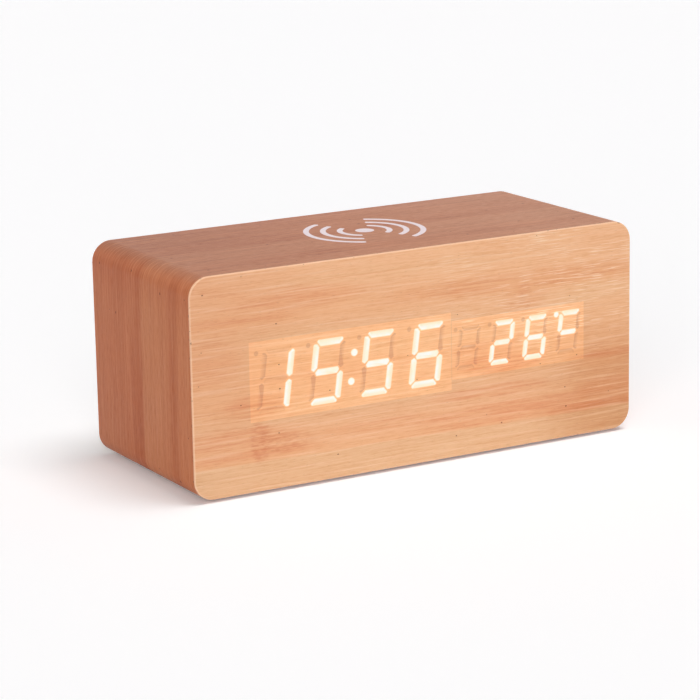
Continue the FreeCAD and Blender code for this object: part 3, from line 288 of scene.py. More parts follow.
# Paler places of the same kind.
PALE_PLACES = [
    (14.0, 22.8, 64.0, 1.8, 0.30), (-50.0, 48.6, 22.0, 2.6, 0.45), (-10.0, 63.0, 60.0, 3.0, 0.40),
    (64.0, 48.0, 18.0, 3.6, 0.60), (0.0, 39.0, 40.0, 3.2, 0.40),
]
# The joints of the cane: x, height, half width, half height, strength.
KNUCKLES = [(-57.3, 15.6, 4.2, 7.2, 0.72), (-49.0, 14.0, 11.0, 3.6, 0.45),
            (39.0, 49.0, 2.6, 5.5, 0.35)]


def make_front_strips():
    """The front's laid strips of cane, with their redder places and the joints of the cane."""
    nodes, given, made = shared_effect(
        "front_strips", {"Along": ("Float", 0.0), "Height": ("Float", 0.0)}, {"Color": "Color"})
    along, height = given["Along"], given["Height"]
    wave = nodes.stretched(along, 45.0, height, 14.0, 5.0, 1)
    slope = nodes.math("MULTIPLY_ADD", along, 0.0094, nodes.math("MULTIPLY_ADD", wave, 0.9, -0.45))
    level = nodes.math("ADD", height, slope)
    top = FRONT_STRIPS[-1][0]
    colour = nodes.ramp(nodes.math("DIVIDE", level, top),
                        [(z / top, srgb(*tone)) for z, tone in FRONT_STRIPS])
    streaks = nodes.stretched(along, 26.0, level, 0.8, 9.0, 3)

    def spot(x, z, half_width, half_height, across):
        """One in the middle of a place, falling to nothing past its edge."""
        dx = nodes.math("DIVIDE", nodes.math("SUBTRACT", along, x), half_width)
        dz = nodes.math("DIVIDE", nodes.math("SUBTRACT", across, z), half_height)
        reach = nodes.math("ADD", nodes.math("POWER", dx, 2.0), nodes.math("POWER", dz, 2.0))
        return nodes.smooth(reach, 0.2, 1.3, 1.0, 0.0)

    def strongest(places, across, pattern):
        """The greatest of several places' strengths, broken up by a pattern."""
        total = 0.0
        for x, z, half_width, half_height, strength in places:
            mask = nodes.times(spot(x, z, half_width, half_height, across), strength)
            total = nodes.math("MAXIMUM", total, mask)
        return nodes.times(total, pattern)

    red = strongest(RED_PLACES, level, nodes.smooth(streaks, 0.38, 0.60, 0.25, 1.0))
    colour = nodes.blend(red, colour, srgb(222, 144, 99))
    pale = strongest(PALE_PLACES, level, nodes.smooth(streaks, 0.42, 0.62, 1.0, 0.2))
    colour = nodes.blend(pale, colour, srgb(234, 185, 141))
    rays = nodes.stretched(along, 2.6, height, 0.9, 21.0, 3)
    knuckle = strongest(KNUCKLES, height, nodes.smooth(rays, 0.36, 0.66, 0.12, 1.0))
    colour = nodes.blend(knuckle, colour, srgb(211, 131, 89))
    # Painted shade: the lower right corner and the left end are a little darker, where less light
    # falls on them.
    right = nodes.smooth(along, 34.0, 72.0)
    low = nodes.smooth(height, 20.0, 42.0, 1.0, 0.0)
    colour = nodes.blend(nodes.times(right, low), colour, nodes.tinted(colour, 235, 218, 202))
    left = nodes.times(nodes.smooth(along, -80.0, -26.0, 1.0, 0.0),
                       nodes.smooth(height, 4.0, 58.0, 0.35, 1.0))
    colour = nodes.blend(left, colour, nodes.tinted(colour, 247, 239, 236))
    nodes.join(colour, made["Color"])


# The strips of the film round the sleeve, from the front edge back: y and colour.
FILM_STRIPS = [
    (-34.0, (201, 119, 81)), (-30.5, (204, 125, 89)), (-25.5, (201, 121, 84)),
    (-24.0, (185, 100, 62)), (-20.5, (188, 103, 66)), (-18.5, (200, 122, 87)),
    (-12.0, (203, 127, 93)), (-1.0, (202, 127, 93)), (0.8, (185, 99, 63)), (7.0, (189, 105, 70)),
    (9.0, (197, 115, 81)), (14.0, (190, 108, 74)), (20.0, (195, 114, 81)), (26.0, (197, 117, 85)),
    (34.0, (193, 113, 83)),
]


def make_film_strips():
    """The laid strips of the printed film, seen across the sleeve's depth."""
    nodes, given, made = shared_effect(
        "film_strips", {"Along": ("Float", 0.0), "Across": ("Float", 0.0)}, {"Color": "Color"})
    along, across = given["Along"], given["Across"]
    wave = nodes.stretched(along, 40.0, across, 16.0, 7.0)
    level = nodes.math("ADD", across, nodes.math("MULTIPLY_ADD", wave, 4.0, -2.0))
    first, last = FILM_STRIPS[0][0], FILM_STRIPS[-1][0]
    share = nodes.math("DIVIDE", nodes.math("SUBTRACT", level, first), last - first)
    colour = nodes.ramp(share, [((y - first) / (last - first), srgb(*tone))
                                for y, tone in FILM_STRIPS])
    tone = nodes.stretched(along, 55.0, across, 9.0, 15.0)
    colour = nodes.blend(nodes.smooth(tone, 0.4, 0.7, 0.0, 0.4), colour, srgb(209, 134, 101))
    nodes.join(colour, made["Color"])


def make_moulded_plastic():
    """Moulded plastic: spark-eroded grain, slight flow marks and light scuffs."""
    nodes, given, made = shared_effect(
        "moulded_plastic",
        {"Place": ("Vector", (0, 0, 0)), "Base": ("Color", (0.5, 0.5, 0.5, 1)),
         "Grain Size": ("Float", 0.15), "Base Roughness": ("Float", 0.5), "Scuff": ("Float", 0.2)},
        {"Color": "Color", "Roughness": "Float", "Height": "Float"})
    place = given["Place"]
    per_grain = nodes.math("DIVIDE", 1.0, given["Grain Size"])
    grain = nodes.noise(nodes.add("VectorMath", {0: place, "Scale": per_grain},
                                  operation="SCALE").outputs[0], 2)
    flow = nodes.spots(place, 0.08, 3)
    scuff = nodes.smooth(nodes.spots(place, (0.5, 3.5, 2.5)), 0.58, 0.72)
    tone = nodes.evened(flow, -0.06, 0.06)
    tone = nodes.math("ADD", tone, nodes.evened(grain, -0.05, 0.05))
    tone = nodes.math("MULTIPLY_ADD", nodes.times(scuff, given["Scuff"]), 0.25, tone)
    light = nodes.blend(0.35, given["Base"], srgb(255, 255, 255))
    nodes.join(nodes.blend(nodes.math("ADD", tone, 0.06, clamp=True), given["Base"], light),
               made["Color"])
    rough = nodes.math("MULTIPLY_ADD", scuff, 0.12, given["Base Roughness"])
    nodes.join(nodes.math("ADD", rough, nodes.evened(grain, -0.04, 0.04)), made["Roughness"])
    nodes.join(grain, made["Height"])


def make_worked_metal():
    """Bare metal: drawn lines one way, a faint stain and small handling marks."""
    nodes, given, made = shared_effect(
        "worked_metal",
        {"Place": ("Vector", (0, 0, 0)), "Base": ("Color", (0.7, 0.7, 0.7, 1)),
         "Stain": ("Color", (0.4, 0.35, 0.3, 1)), "Base Roughness": ("Float", 0.3)},
        {"Color": "Color", "Roughness": "Float", "Height": "Float"})
    place = given["Place"]
    lines = nodes.spots(place, (0.35, 9.0, 9.0))
    stain = nodes.smooth(nodes.spots(place, 0.35, 4), 0.45, 0.75)
    marks = nodes.smooth(nodes.spots(place, 4.0), 0.6, 0.7)
    colour = nodes.blend(nodes.times(stain, 0.35), given["Base"], given["Stain"])
    nodes.join(colour, made["Color"])
    rough = nodes.math("MULTIPLY_ADD", lines, 0.16, given["Base Roughness"])
    nodes.join(nodes.math("MULTIPLY_ADD", marks, 0.08, rough), made["Roughness"])
    nodes.join(nodes.math("SUBTRACT", lines, nodes.times(marks, 0.5)), made["Height"])


# ------------------------------------------------------------------ wood finishes

VENEER_RELIEF = 0.03 * MM
FILM_RELIEF = 0.02 * MM


def front_colour(nodes, dashes=0.62):
    """The veneer's colour, roughness and relief at a point of the front."""
    x, _, z = nodes.split(nodes.millimetres())
    height = nodes.math("SUBTRACT", z, FRONT_LOW.z / MM)
    base = nodes.effect("front_strips", Along=x, Height=height)["Color"]
    streak = nodes.tinted(base, 238, 215, 198)
    upper_right = nodes.times(nodes.smooth(x, -20.0, 50.0), nodes.smooth(height, 24.0, 42.0))
    amount = nodes.math("MULTIPLY_ADD", upper_right, dashes, 0.15 * dashes)
    return nodes.effect("wood_grain", Along=x, Across=height, Seed=2.0, Base=base, Streak=streak,
                        Streak_Amount=0.9, Light=srgb(249, 214, 180), Dash_Amount=amount,
                        Speck_Amount=0.85)


def make_front_wood():
    """The veneer of the front, round the displays."""
    nodes, shader = new_material("front_wood")
    grain = front_colour(nodes)
    set_finish(nodes, shader, grain, VENEER_RELIEF, Specular_IOR_Level=0.3)


def make_edge_highlight_and_chips():
    """The veneer's rounded edge: painted paler as a highlight where it catches the light, with
    small chips.
    """
    nodes, shader = new_material("edge_highlight_and_chips")
    grain = front_colour(nodes)
    place = nodes.millimetres()
    chips = nodes.smooth(nodes.spots(place, 0.9, 3), 0.66, 0.72)
    # Painted highlight: the edge is paler where it catches the light; the dark chips are wear.
    pale = nodes.blend(0.55, grain["Color"], srgb(243, 200, 165))
    colour = nodes.blend(nodes.times(chips, 0.75), pale, srgb(122, 74, 52))
    set_surface(nodes, shader, colour, grain["Roughness"], grain["Height"], VENEER_RELIEF)


# How far the light spreads in the veneer round a segment, in millimetres.
GLOW_REACH = 1.3


def make_display_window():
    """Veneer over a display: lit from behind, with painted shade and less glow over the unlit
    segments, so that they show faintly.
    """
    nodes, shader = new_material("display_window")
    grain = front_colour(nodes, 0.9)
    unlit, away = nodes.attribute("unlit"), nodes.attribute("from_light")
    near = nodes.math("POWER", math.e, nodes.math("DIVIDE", away, -GLOW_REACH))
    rim = nodes.smooth(away, 0.0, 0.32, 1.0, 0.0)
    glow = nodes.blend(near, srgb(110, 100, 44), srgb(124, 114, 66))
    glow = nodes.blend(rim, glow, srgb(200, 180, 136))
    glow = nodes.blend(nodes.times(unlit, 0.9), glow, srgb(30, 14, 8))
    pattern = nodes.blend(1.0, grain["Color"], grain["Color"], "MULTIPLY")
    glow = nodes.blend(1.0, glow, nodes.blend(0.75, srgb(255, 255, 255), pattern), "MULTIPLY")
    # Painted shade: the veneer over an unlit segment is a little darker, as less light comes
    # through it.
    shade = nodes.tinted(grain["Color"], 246, 235, 233)
    set_surface(nodes, shader, nodes.blend(unlit, grain["Color"], shade), grain["Roughness"],
                grain["Height"], VENEER_RELIEF, Specular_IOR_Level=0.3, Emission_Strength=1.0)
    nodes.join(glow, shader.inputs["Emission Color"])


def make_lit_segment():
    """A segment that is on: white in the middle, creamier towards its rim and in patches."""
    nodes, shader = new_material("lit_segment")
    inside = nodes.attribute("from_light")
    patch = nodes.spots(nodes.millimetres(), 0.28)
    core = nodes.blend(nodes.smooth(patch, 0.40, 0.68), srgb(254, 253, 246), srgb(253, 247, 224))
    colour = nodes.blend(nodes.smooth(inside, -0.40, 0.0), core, srgb(252, 238, 205))
    set_surface(nodes, shader, srgb(34, 32, 28), 0.5, Emission_Strength=0.97,
                Specular_IOR_Level=0.1)
    nodes.join(colour, shader.inputs["Emission Color"])


def make_wrap_wood():
    """The printed film round the sleeve, with painted light and shade over its top and upper
    corner, chipped here and there along its front edge.
    """
    nodes, shader = new_material("wrap_wood")
    girth, y, _ = nodes.split(nodes.attribute("film_place", "Vector"))
    x, _, z = nodes.split(nodes.millimetres())
    height = nodes.math("DIVIDE", z, WRAP_HIGH.z / MM)
    base = nodes.effect("film_strips", Along=girth, Across=y)["Color"]
    # Painted light: the top of the film gets a colour of its own, for the light that falls on it
    # there.
    on_top = nodes.smooth(height, 0.95, 0.995)
    base = nodes.blend(nodes.times(on_top, 0.45), base, srgb(202, 124, 88))
    # Painted shade: the top is darker towards its left and its back.
    darker = nodes.times(on_top, nodes.smooth(x, -85.0, 15.0, 1.0, 0.0))
    darker = nodes.times(darker, nodes.smooth(y, -40.0, 20.0, 0.35, 1.0))
    base = nodes.blend(darker, base, nodes.tinted(base, 231, 224, 220))
    # Painted light: the top is lighter towards its right, nearer the key light.
    lighter = nodes.times(on_top, nodes.smooth(x, -10.0, 75.0, 0.0, 0.22))
    base = nodes.blend(lighter, base, srgb(216, 158, 130))
    # Painted light and shade by height: the colour warms up the side and cools over the top corner,
    # as the light on it changes.
    tint = nodes.ramp(height, [(0.80, srgb(255, 253, 227)), (0.93, srgb(249, 233, 200)),
                               (0.97, srgb(246, 244, 226)), (0.999, srgb(237, 254, 255))])
    base = nodes.blend(1.0, base, tint, "MULTIPLY")
    fibre = nodes.blend(on_top, srgb(224, 197, 177), srgb(194, 158, 134))
    streak = nodes.blend(1.0, base, fibre, "MULTIPLY")
    grain = nodes.effect("wood_grain", Along=girth, Across=y, Seed=5.0, Base=base, Streak=streak,
                         Streak_Amount=0.9, Light=srgb(216, 146, 106), Dash_Amount=0.06,
                         Speck_Amount=0.85, Speck_Size=1.5)
    edge = nodes.smooth(y, -33.25, -32.8, 1.0, 0.0)
    chips = nodes.noise(nodes.vector(nodes.times(girth, 0.8), nodes.times(y, 1.2)), 3)
    chips = nodes.times(nodes.smooth(chips, 0.56, 0.62), edge)
    colour = nodes.blend(nodes.times(chips, 0.8), grain["Color"], srgb(118, 60, 38))
    set_surface(nodes, shader, colour, grain["Roughness"], grain["Height"], FILM_RELIEF,
                Specular_IOR_Level=0.22)


def make_back_wood():
    """The printed film over the back."""
    nodes, shader = new_material("back_wood")
    x, height, _ = nodes.split(nodes.attribute("film_place", "Vector"))
    tone = nodes.stretched(x, 90.0, height, 5.0, 3.0)
    base = nodes.ramp(tone, [(0.30, srgb(222, 160, 116)), (0.45, srgb(230, 174, 132)),
                             (0.60, srgb(234, 184, 143)), (0.75, srgb(226, 166, 122))])
    streak = nodes.tinted(base, 240, 218, 204)
    grain = nodes.effect("wood_grain", Along=x, Across=height, Seed=8.0, Base=base, Streak=streak,
                         Streak_Amount=0.9, Light=srgb(246, 208, 172), Dash_Amount=0.3,
                         Speck_Amount=0.8)
    set_finish(nodes, shader, grain, VENEER_RELIEF, Specular_IOR_Level=0.3)


def make_fibreboard():
    """Sawn fibreboard: fine pale and dark fibres."""
    nodes, shader = new_material("fibreboard")
    place = nodes.millimetres()
    fibres = nodes.spots(place, (1.6, 3.1, 2.3), 4)
    fleck = nodes.smooth(nodes.spots(place, (0.7, 5.0, 3.0), 3), 0.6, 0.7)
    colour = nodes.ramp(fibres, [(0.3, srgb(150, 112, 76)), (0.55, srgb(181, 141, 99)),
                                 (0.75, srgb(203, 168, 126))])
    colour = nodes.blend(nodes.times(fleck, 0.4), colour, srgb(118, 84, 56))
    set_surface(nodes, shader, colour, nodes.evened(fibres, 0.8, 0.95), fibres, 0.1 * MM)


# ------------------------------------------------------------------ other finishes

# Moulded pieces by the name of their finish: colour, grain size in millimetres, roughness, how
# scuffed, the relief's depth in millimetres, and the shader's other settings.
PLASTICS = {
    "foot_rubber": ((34, 34, 35), 0.3, 0.72, 0.4, 0.03),
    "display_plastic": ((226, 225, 219), 0.12, 0.48, 0.1, 0.01),
    "segment_resin": ((246, 244, 234), 0.6, 0.25, 0.0, 0.01, {"Transmission_Weight": 0.2}),
    "chip_epoxy": ((36, 36, 38), 0.08, 0.55, 0.2, 0.01),
    "black_plastic": ((40, 40, 42), 0.12, 0.42, 0.2, 0.01),
    "connector_plastic": ((228, 220, 200), 0.15, 0.4, 0.2, 0.01),
    "panel_plastic": ((38, 38, 40), 0.22, 0.52, 0.35, 0.03),
    "button_plastic": ((30, 30, 32), 0.10, 0.24, 0.5, 0.004,
                       {"Coat_Weight": 0.3, "Coat_Roughness": 0.12}),
    "plunger_plastic": ((212, 203, 184), 0.12, 0.42, 0.1, 0.01),
    "sensor_epoxy": ((30, 29, 30), 0.3, 0.3, 0.1, 0.01),
    "ferrite": ((62, 62, 66), 0.25, 0.7, 0.3, 0.02),
    "spacer_nylon": ((232, 229, 218), 0.2, 0.45, 0.1, 0.01, {"Subsurface_Weight": 0.1}),
    "film_capacitor": ((206, 158, 46), 0.5, 0.28, 0.1, 0.03),
    "panel_mark": ((226, 226, 222), 0.2, 0.55, 0.3, 0.01),
}
# Metal pieces by the name of their finish: colour, stain and roughness.
METALS = {
    "tinned_pin": ((214, 214, 208), (150, 146, 136), 0.22),
    "screw_steel": ((112, 112, 116), (60, 56, 54), 0.30),
    "crystal_can": ((206, 206, 206), (150, 148, 142), 0.26),
    "socket_steel": ((200, 200, 202), (140, 136, 130), 0.24),
    "microphone_can": ((204, 206, 208), (150, 150, 150), 0.34),
    "copper_wire": ((214, 122, 70), (140, 66, 34), 0.26),
    "cell_steel": ((210, 210, 208), (160, 156, 148), 0.20),
    "contact_brass": ((214, 180, 108), (150, 112, 56), 0.28),
}
METAL_RELIEF = 0.004 * MM


def make_plastic(name, colour, grain_size, roughness, scuff, depth, settings=None):
    """A moulded piece's finish, from its line in PLASTICS."""
    nodes, shader = new_material(name)
    finish = nodes.effect("moulded_plastic", Place=nodes.millimetres(), Base=srgb(*colour),
                          Grain_Size=grain_size, Base_Roughness=roughness, Scuff=scuff)
    set_finish(nodes, shader, finish, depth * MM, **(settings or {}))


def make_metal(name, colour, stain, roughness):
    """A metal piece's finish, from its line in METALS."""
    nodes, shader = new_material(name)
    finish = nodes.effect("worked_metal", Place=nodes.millimetres(), Base=srgb(*colour),
                          Stain=srgb(*stain), Base_Roughness=roughness)
    set_finish(nodes, shader, finish, METAL_RELIEF, Metallic=1.0)


def make_print_ink():
    """Screen-printed ink: nearly opaque, with a faint mottle and ragged thin spots."""
    nodes, shader = new_material("print_ink")
    place = nodes.millimetres()
    mottle = nodes.spots(place, 1.2, 3)
    thin = nodes.smooth(nodes.spots(place, (0.9, 5.0, 1.0)), 0.66, 0.74)
    colour = nodes.blend(nodes.evened(mottle), srgb(233, 215, 221), srgb(243, 226, 228))
    colour = nodes.blend(nodes.times(thin, 0.35), colour, srgb(214, 178, 164))
    set_surface(nodes, shader, colour, nodes.evened(mottle, 0.40, 0.55), mottle, 0.01 * MM)


def make_circuit_board():
    """Green lacquer over copper tracks, with tinned pads."""
    nodes, shader = new_material("circuit_board")
    place = nodes.millimetres()
    x, y, z = nodes.split(place)
    other = nodes.math("ADD", y, z)
    region = nodes.spots(place, 0.09, 1)

    def tracks_along(line, spacing, low, high, side):
        """Slanting tracks, on one side of the board's division into regions."""
        wave = nodes.math("PINGPONG", line, spacing)
        return nodes.times(nodes.smooth(wave, low, high, 1.0, 0.0), nodes.math(side, region, 0.5))

    tracks = nodes.math(
        "MAXIMUM", tracks_along(nodes.math("ADD", x, other), 1.6, 0.25, 0.35, "GREATER_THAN"),
        tracks_along(nodes.math("SUBTRACT", x, other), 2.3, 0.3, 0.4, "LESS_THAN"))
    pads = nodes.add("TexVoronoi", {"Vector": nodes.scaled(place, 0.22), "Scale": 1.0})
    pad = nodes.smooth(pads.outputs["Distance"], 0.10, 0.13, 1.0, 0.0)
    colour = nodes.blend(tracks, srgb(16, 78, 42), srgb(34, 112, 58))
    colour = nodes.blend(pad, colour, srgb(190, 192, 188))
    set_surface(nodes, shader, colour, nodes.evened(region, 0.22, 0.34),
                nodes.math("ADD", tracks, pad), 0.03 * MM)
    nodes.join(pad, shader.inputs["Metallic"])


def make_wire_insulation():
    """Wires side by side, each of its own colour."""
    nodes, shader = new_material("wire_insulation")
    place = nodes.millimetres()
    # The colours repeat every three wires, 1.4 mm apart.
    step = nodes.math("FRACT", nodes.math("DIVIDE", nodes.split(place)[0], 4.2))
    red, black, yellow = srgb(168, 24, 22), srgb(24, 24, 26), srgb(214, 176, 44)
    colour = nodes.ramp(step, [(0.0, red), (0.32, red), (0.34, black), (0.65, black),
                               (0.67, yellow), (1.0, yellow)])
    sheen = nodes.spots(place, 2.0)
    set_surface(nodes, shader, colour, nodes.evened(sheen, 0.36, 0.48), sheen, 0.01 * MM)


for make in (make_wood_grain, make_front_strips, make_film_strips, make_moulded_plastic,
             make_worked_metal, make_front_wood, make_edge_highlight_and_chips, make_display_window,
             make_lit_segment, make_wrap_wood, make_back_wood, make_fibreboard, make_print_ink,
             make_circuit_board, make_wire_insulation):
    make()
for name, values in PLASTICS.items():
    make_plastic(name, *values)
for name, values in METALS.items():
    make_metal(name, *values)

# ------------------------------------------------------------------ outlines and plates

# An inset corner keeps at least this radius, so that it keeps its points apart.
LEAST_RADIUS = 0.02 * MM
EDGE_STEPS = 3
WELD_DISTANCE = 1e-9
SHARP_ANGLE = math.radians(40)


class RoundedRectangle:
    """An outline about x, z; shrunk by an inset, it keeps its number of points."""

    def __init__(self, x, z, width, height, radius, steps=CORNER_STEPS):
        self.centre, self.half = (x, z), (width / 2, height / 2)
        self.radius, self.steps = radius, steps

    def points(self, inset=0.0):
        """Its points, anticlockwise as seen from the front."""
        radius = max(self.radius - inset, LEAST_RADIUS)
        found = []
        for quarter, (sx, sz) in enumerate([(1, -1), (1, 1), (-1, 1), (-1, -1)]):
            cx = self.centre[0] + sx * (self.half[0] - inset - radius)
            cz = self.centre[1] + sz * (self.half[1] - inset - radius)
            for step in range(self.steps + 1):
                angle = (quarter - 1 + step / self.steps) * math.pi / 2
                found.append((cx + radius * math.cos(angle), cz + radius * math.sin(angle)))
        return found


class Round:
    """A circle about x, z."""

    def __init__(self, x, z, radius, steps):
        self.centre, self.radius, self.steps = (x, z), radius, steps

    def points(self, inset=0.0):
        """Its points, anticlockwise as seen from the front."""
        radius = self.radius - inset
        turn = 2 * math.pi / self.steps
        return [(self.centre[0] + radius * math.cos(i * turn),
                 self.centre[1] + radius * math.sin(i * turn)) for i in range(self.steps)]


def triangulated(outline, holes=(), areas=(), extra=()):
    """Points and triangles that fill the outline but not the holes, with the area each lies in.

    The area is the last of areas that holds the triangle, counted from 1, or 0 for none."""
    loops = [outline, *holes, *areas]
    points, faces = [], []
    for loop in loops:
        faces.append(list(range(len(points), len(points) + len(loop))))
        points += [Vector(point) for point in loop]
    points += [Vector(point) for point in extra]
    found, _, triangles, _, _, owners = delaunay_2d_cdt(points, [], faces, 1, WELD_DISTANCE)
    first_area = 1 + len(holes)
    kept = []
    for triangle, owner in zip(triangles, owners):
        if 0 in owner and not any(1 <= index < first_area for index in owner):
            kept.append((triangle, max(max(owner) - first_area + 1, 0)))
    return found, kept


def finish_mesh(name, vertices, faces, materials, body="case", slot=None, indices=None,
                flat=False, thickness=None):
    """An object of the clock that rides on a body; the slot argument is not used."""
    slot = slot or materials[0]
    mesh = bpy.data.meshes.new(name)
    mesh.from_pydata(vertices, [], faces)
    for material in materials:
        mesh.materials.append(MATERIALS[material])
    if indices:
        mesh.polygons.foreach_set("material_index", indices)
    mesh.polygons.foreach_set("use_smooth", [not flat] * len(mesh.polygons))
    mesh.set_sharp_from_angle(angle=SHARP_ANGLE)
    mesh.validate()
    piece = bpy.data.objects.new(name, mesh)
    bpy.context.scene.collection.objects.link(piece)
    if thickness:
        thick = piece.modifiers.new("thickness", "SOLIDIFY")
        thick.thickness = thickness
        thick.offset = -1
    weighted = piece.modifiers.new("weighted_normals", "WEIGHTED_NORMAL")
    weighted.keep_sharp = True
    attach(piece, body)
    return piece


def store(piece, name, values):
    """Keeps a number, or a place in millimetres, at each point of a piece's mesh."""
    flat = np.ravel(values)
    kind, key = ("FLOAT", "value") if len(flat) == len(values) else ("FLOAT_VECTOR", "vector")
    piece.data.attributes.new(name, kind, "POINT").data.foreach_set(key, flat)


def wall(faces, first, second, count):
    """Quads between two rings of points that start at first and at second."""
    for i in range(count):
        j = (i + 1) % count
        faces.append((first + i, first + j, second + j, second + i))


def plate_mesh(outline, holes, y_face, y_back, edge, areas=(), extra=()):
    """A plate across Y with a rounded edge round its face: vertices, faces, area numbers.

    The rounded edge, the sides and the back have the area number -1."""
    vertices, faces, numbers = [], [], []
    sign = 1 if y_back > y_face else -1

    def lay(points, y):
        """Adds points at this y and says where they start."""
        start = len(vertices)
        vertices.extend((x, y, z) for x, z in points)
        return start

    def cap(inset, y, facing, areas=(), extra=()):
        """Adds a flat face of the plate and says in which area each of its triangles lies."""
        found, kept = triangulated(outline.points(inset), [hole.points(-inset) for hole in holes],
                                   areas, extra)
        start = lay(found, y)
        for triangle, _ in kept:
            corners = [start + corner for corner in triangle]
            faces.append(corners if facing else corners[::-1])
        return [area for _, area in kept]

    numbers += cap(edge, y_face, sign > 0, areas, extra)
    for shape, inward in [(outline, 1)] + [(hole, -1) for hole in holes]:
        rings = []
        for step in range(EDGE_STEPS + 1):
            angle = step / EDGE_STEPS * math.pi / 2
            inset = edge * (1 - math.sin(angle)) * inward
            depth = edge * (1 - math.cos(angle)) * sign
            rings.append(lay(shape.points(inset), y_face + depth))
        rings.append(lay(shape.points(), y_back))
        for first, second in zip(rings, rings[1:]):
            order = (second, first) if inward == sign else (first, second)
            wall(faces, *order, len(shape.points()))
    cap(0.0, y_back, sign < 0)
    numbers += [-1] * (len(faces) - len(numbers))
    return vertices, faces, numbers


def turned(name, profile, centre, axis, material, body="case", steps=48):
    """A piece turned about an axis through centre; profile is radius and height along it."""
    vertices, faces = [], []
    for radius, height in profile:
        for step in range(steps):
            angle = 2 * math.pi * step / steps
            u, v = radius * math.cos(angle), radius * math.sin(angle)
            local = Vector((u, v, height)) if axis == "Z" else Vector((v, height, u))
            vertices.append(Vector(centre) + local)
    for ring in range(len(profile) - 1):
        wall(faces, ring * steps, (ring + 1) * steps, steps)
    faces.append(list(range(steps))[::-1])
    faces.append([(len(profile) - 1) * steps + i for i in range(steps)])
    return finish_mesh(name, vertices, faces, [material], body)


def arc_profile(radius, height, round_radius, upward=True, steps=5):
    """Profile points of a rounded rim that ends at radius and height."""
    points = []
    for step in range(steps + 1):
        angle = step / steps * math.pi / 2
        out, rise = math.cos(angle), math.sin(angle)
        if upward:
            points.append((radius - round_radius + round_radius * out,
                           height - round_radius + round_radius * rise))
        else:
            points.append((radius - round_radius + round_radius * rise,
                           height + round_radius - round_radius * out))
    return points


# ------------------------------------------------------------------ display

# All of the display is in millimetres.
SLANT = math.tan(math.radians(8))


class Module:
    """One display: where it is, how its digits are drawn, and what it shows.

    The decimal dot is given from its digit's centre. The row of digits stands rise above the
    housing's middle and climbs by lean to the right. Level bars are a, d and g: level_bars is how
    strongly they show when they are off."""

    def __init__(self, housing, pitch, columns, rows, stroke, dot, dot_radius, shown, rise, lean,
                 level_bars):
        low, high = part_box(housing)
        self.low, self.high = (low.x / MM, low.z / MM), (high.x / MM, high.z / MM)
        self.centre = ((self.low[0] + self.high[0]) / 2, (self.low[1] + self.high[1]) / 2 + rise)
        self.pitch, self.columns, self.rows, self.stroke = pitch, columns, rows, stroke
        self.dot, self.dot_radius, self.shown = dot, dot_radius, shown
        self.lean, self.level_bars = lean, level_bars


TIME = Module("time_display_housing", pitch=18.0, columns=9.37, rows=9.15, stroke=2.1,
              dot=(-6.45, 8.95), dot_radius=1.0, shown=["bc", "afgcd", "afgcd", "afgecd"],
              rise=0.08, lean=0.007, level_bars=0.4)
TEMPERATURE = Module("temperature_display_housing", pitch=12.7, columns=6.85, rows=6.3, stroke=1.7,
                     dot=(-4.6, 6.25), dot_radius=0.95, shown=["", "abged", "afgecd", "afg."],
                     rise=0.25, lean=0.0, level_bars=0.8)
COLON = [(0.1, 4.5), (0.1, -4.5)]
COLON_RADIUS = 1.2
SEGMENT_ROUND = 0.34
UNLIT_DOT_SIZE, UNLIT_DOT_STRENGTH = 0.9, 0.9
UNLIT_BLUR = 0.28
# Points laid in the front's mesh: a grid in each window that keeps clear of the outlines, and
# lines beside the lit outlines, where the glow changes fastest.
GRID_SPACING, GRID_CLEARANCE = 1.0, 0.45
GLOW_LINES = (-0.40, 0.16, 0.36)


def rounded(corners, radius, steps=4):
    """A closed outline with its corners rounded off."""
    found = []
    count = len(corners)
    for i in range(count):
        corner = Vector(corners[i])
        back = (Vector(corners[i - 1]) - corner).normalized()
        ahead = (Vector(corners[(i + 1) % count]) - corner).normalized()
        half = back.angle(ahead) / 2
        reach = radius / math.tan(half)
        middle = corner + (back + ahead).normalized() * (radius / math.sin(half))
        start, end = corner + back * reach - middle, corner + ahead * reach - middle
        sweep = start.angle_signed(end)
        for step in range(steps + 1):
            turn = Matrix.Rotation(-sweep * step / steps, 2)
            found.append(tuple(middle + turn @ start))
    return found


def segment_corners(columns, rows, stroke):
    """The seven segments of an upright digit about its centre, by letter.

    The corners are cut back by shares of half the stroke, as drawn from the photo."""
    c, r, w = columns / 2, rows, stroke / 2
    top = [(-c + 0.45 * w, r + w), (-c, r + 0.5 * w), (-c + 1.35 * w, r - w),
           (c - 1.15 * w, r - w), (c - 0.1 * w, r + 0.1 * w), (c - 0.1 * w, r + 0.6 * w),
           (c - 0.5 * w, r + w)]
    tip = c - 0.42 * w
    middle = [(-tip, -0.1 * w), (-tip + 0.5 * w, -w), (tip - 0.65 * w, -w), (tip, 0.1 * w),
              (tip - 0.5 * w, w), (-tip + 0.75 * w, w)]
    upper_left = [(-c - w, w), (-c - 0.05 * w, 0.32 * w), (-c + w, 1.3 * w),
                  (-c + w, r - 1.25 * w), (-c + 0.2 * w, r - 0.25 * w), (-c - 0.7 * w, r - 0.2 * w),
                  (-c - w, r - 0.5 * w)]
    lower_left = [(-c - w, -r + 0.8 * w), (-c - 0.3 * w, -r + 0.15 * w), (-c + w, -r + 1.3 * w),
                  (-c + w, -1.3 * w), (-c, -0.32 * w), (-c - w, -w)]

    def turned_over(corners):
        return [(-x, -z) for x, z in corners]

    return {"a": top, "b": turned_over(lower_left), "c": turned_over(upper_left),
            "d": turned_over(top), "e": lower_left, "f": upper_left, "g": middle}


def dot_outline(x, z, radius, steps=20):
    """The outline of a round dot."""
    turn = 2 * math.pi / steps
    return [(x + radius * math.cos(i * turn), z + radius * math.sin(i * turn))
            for i in range(steps)]


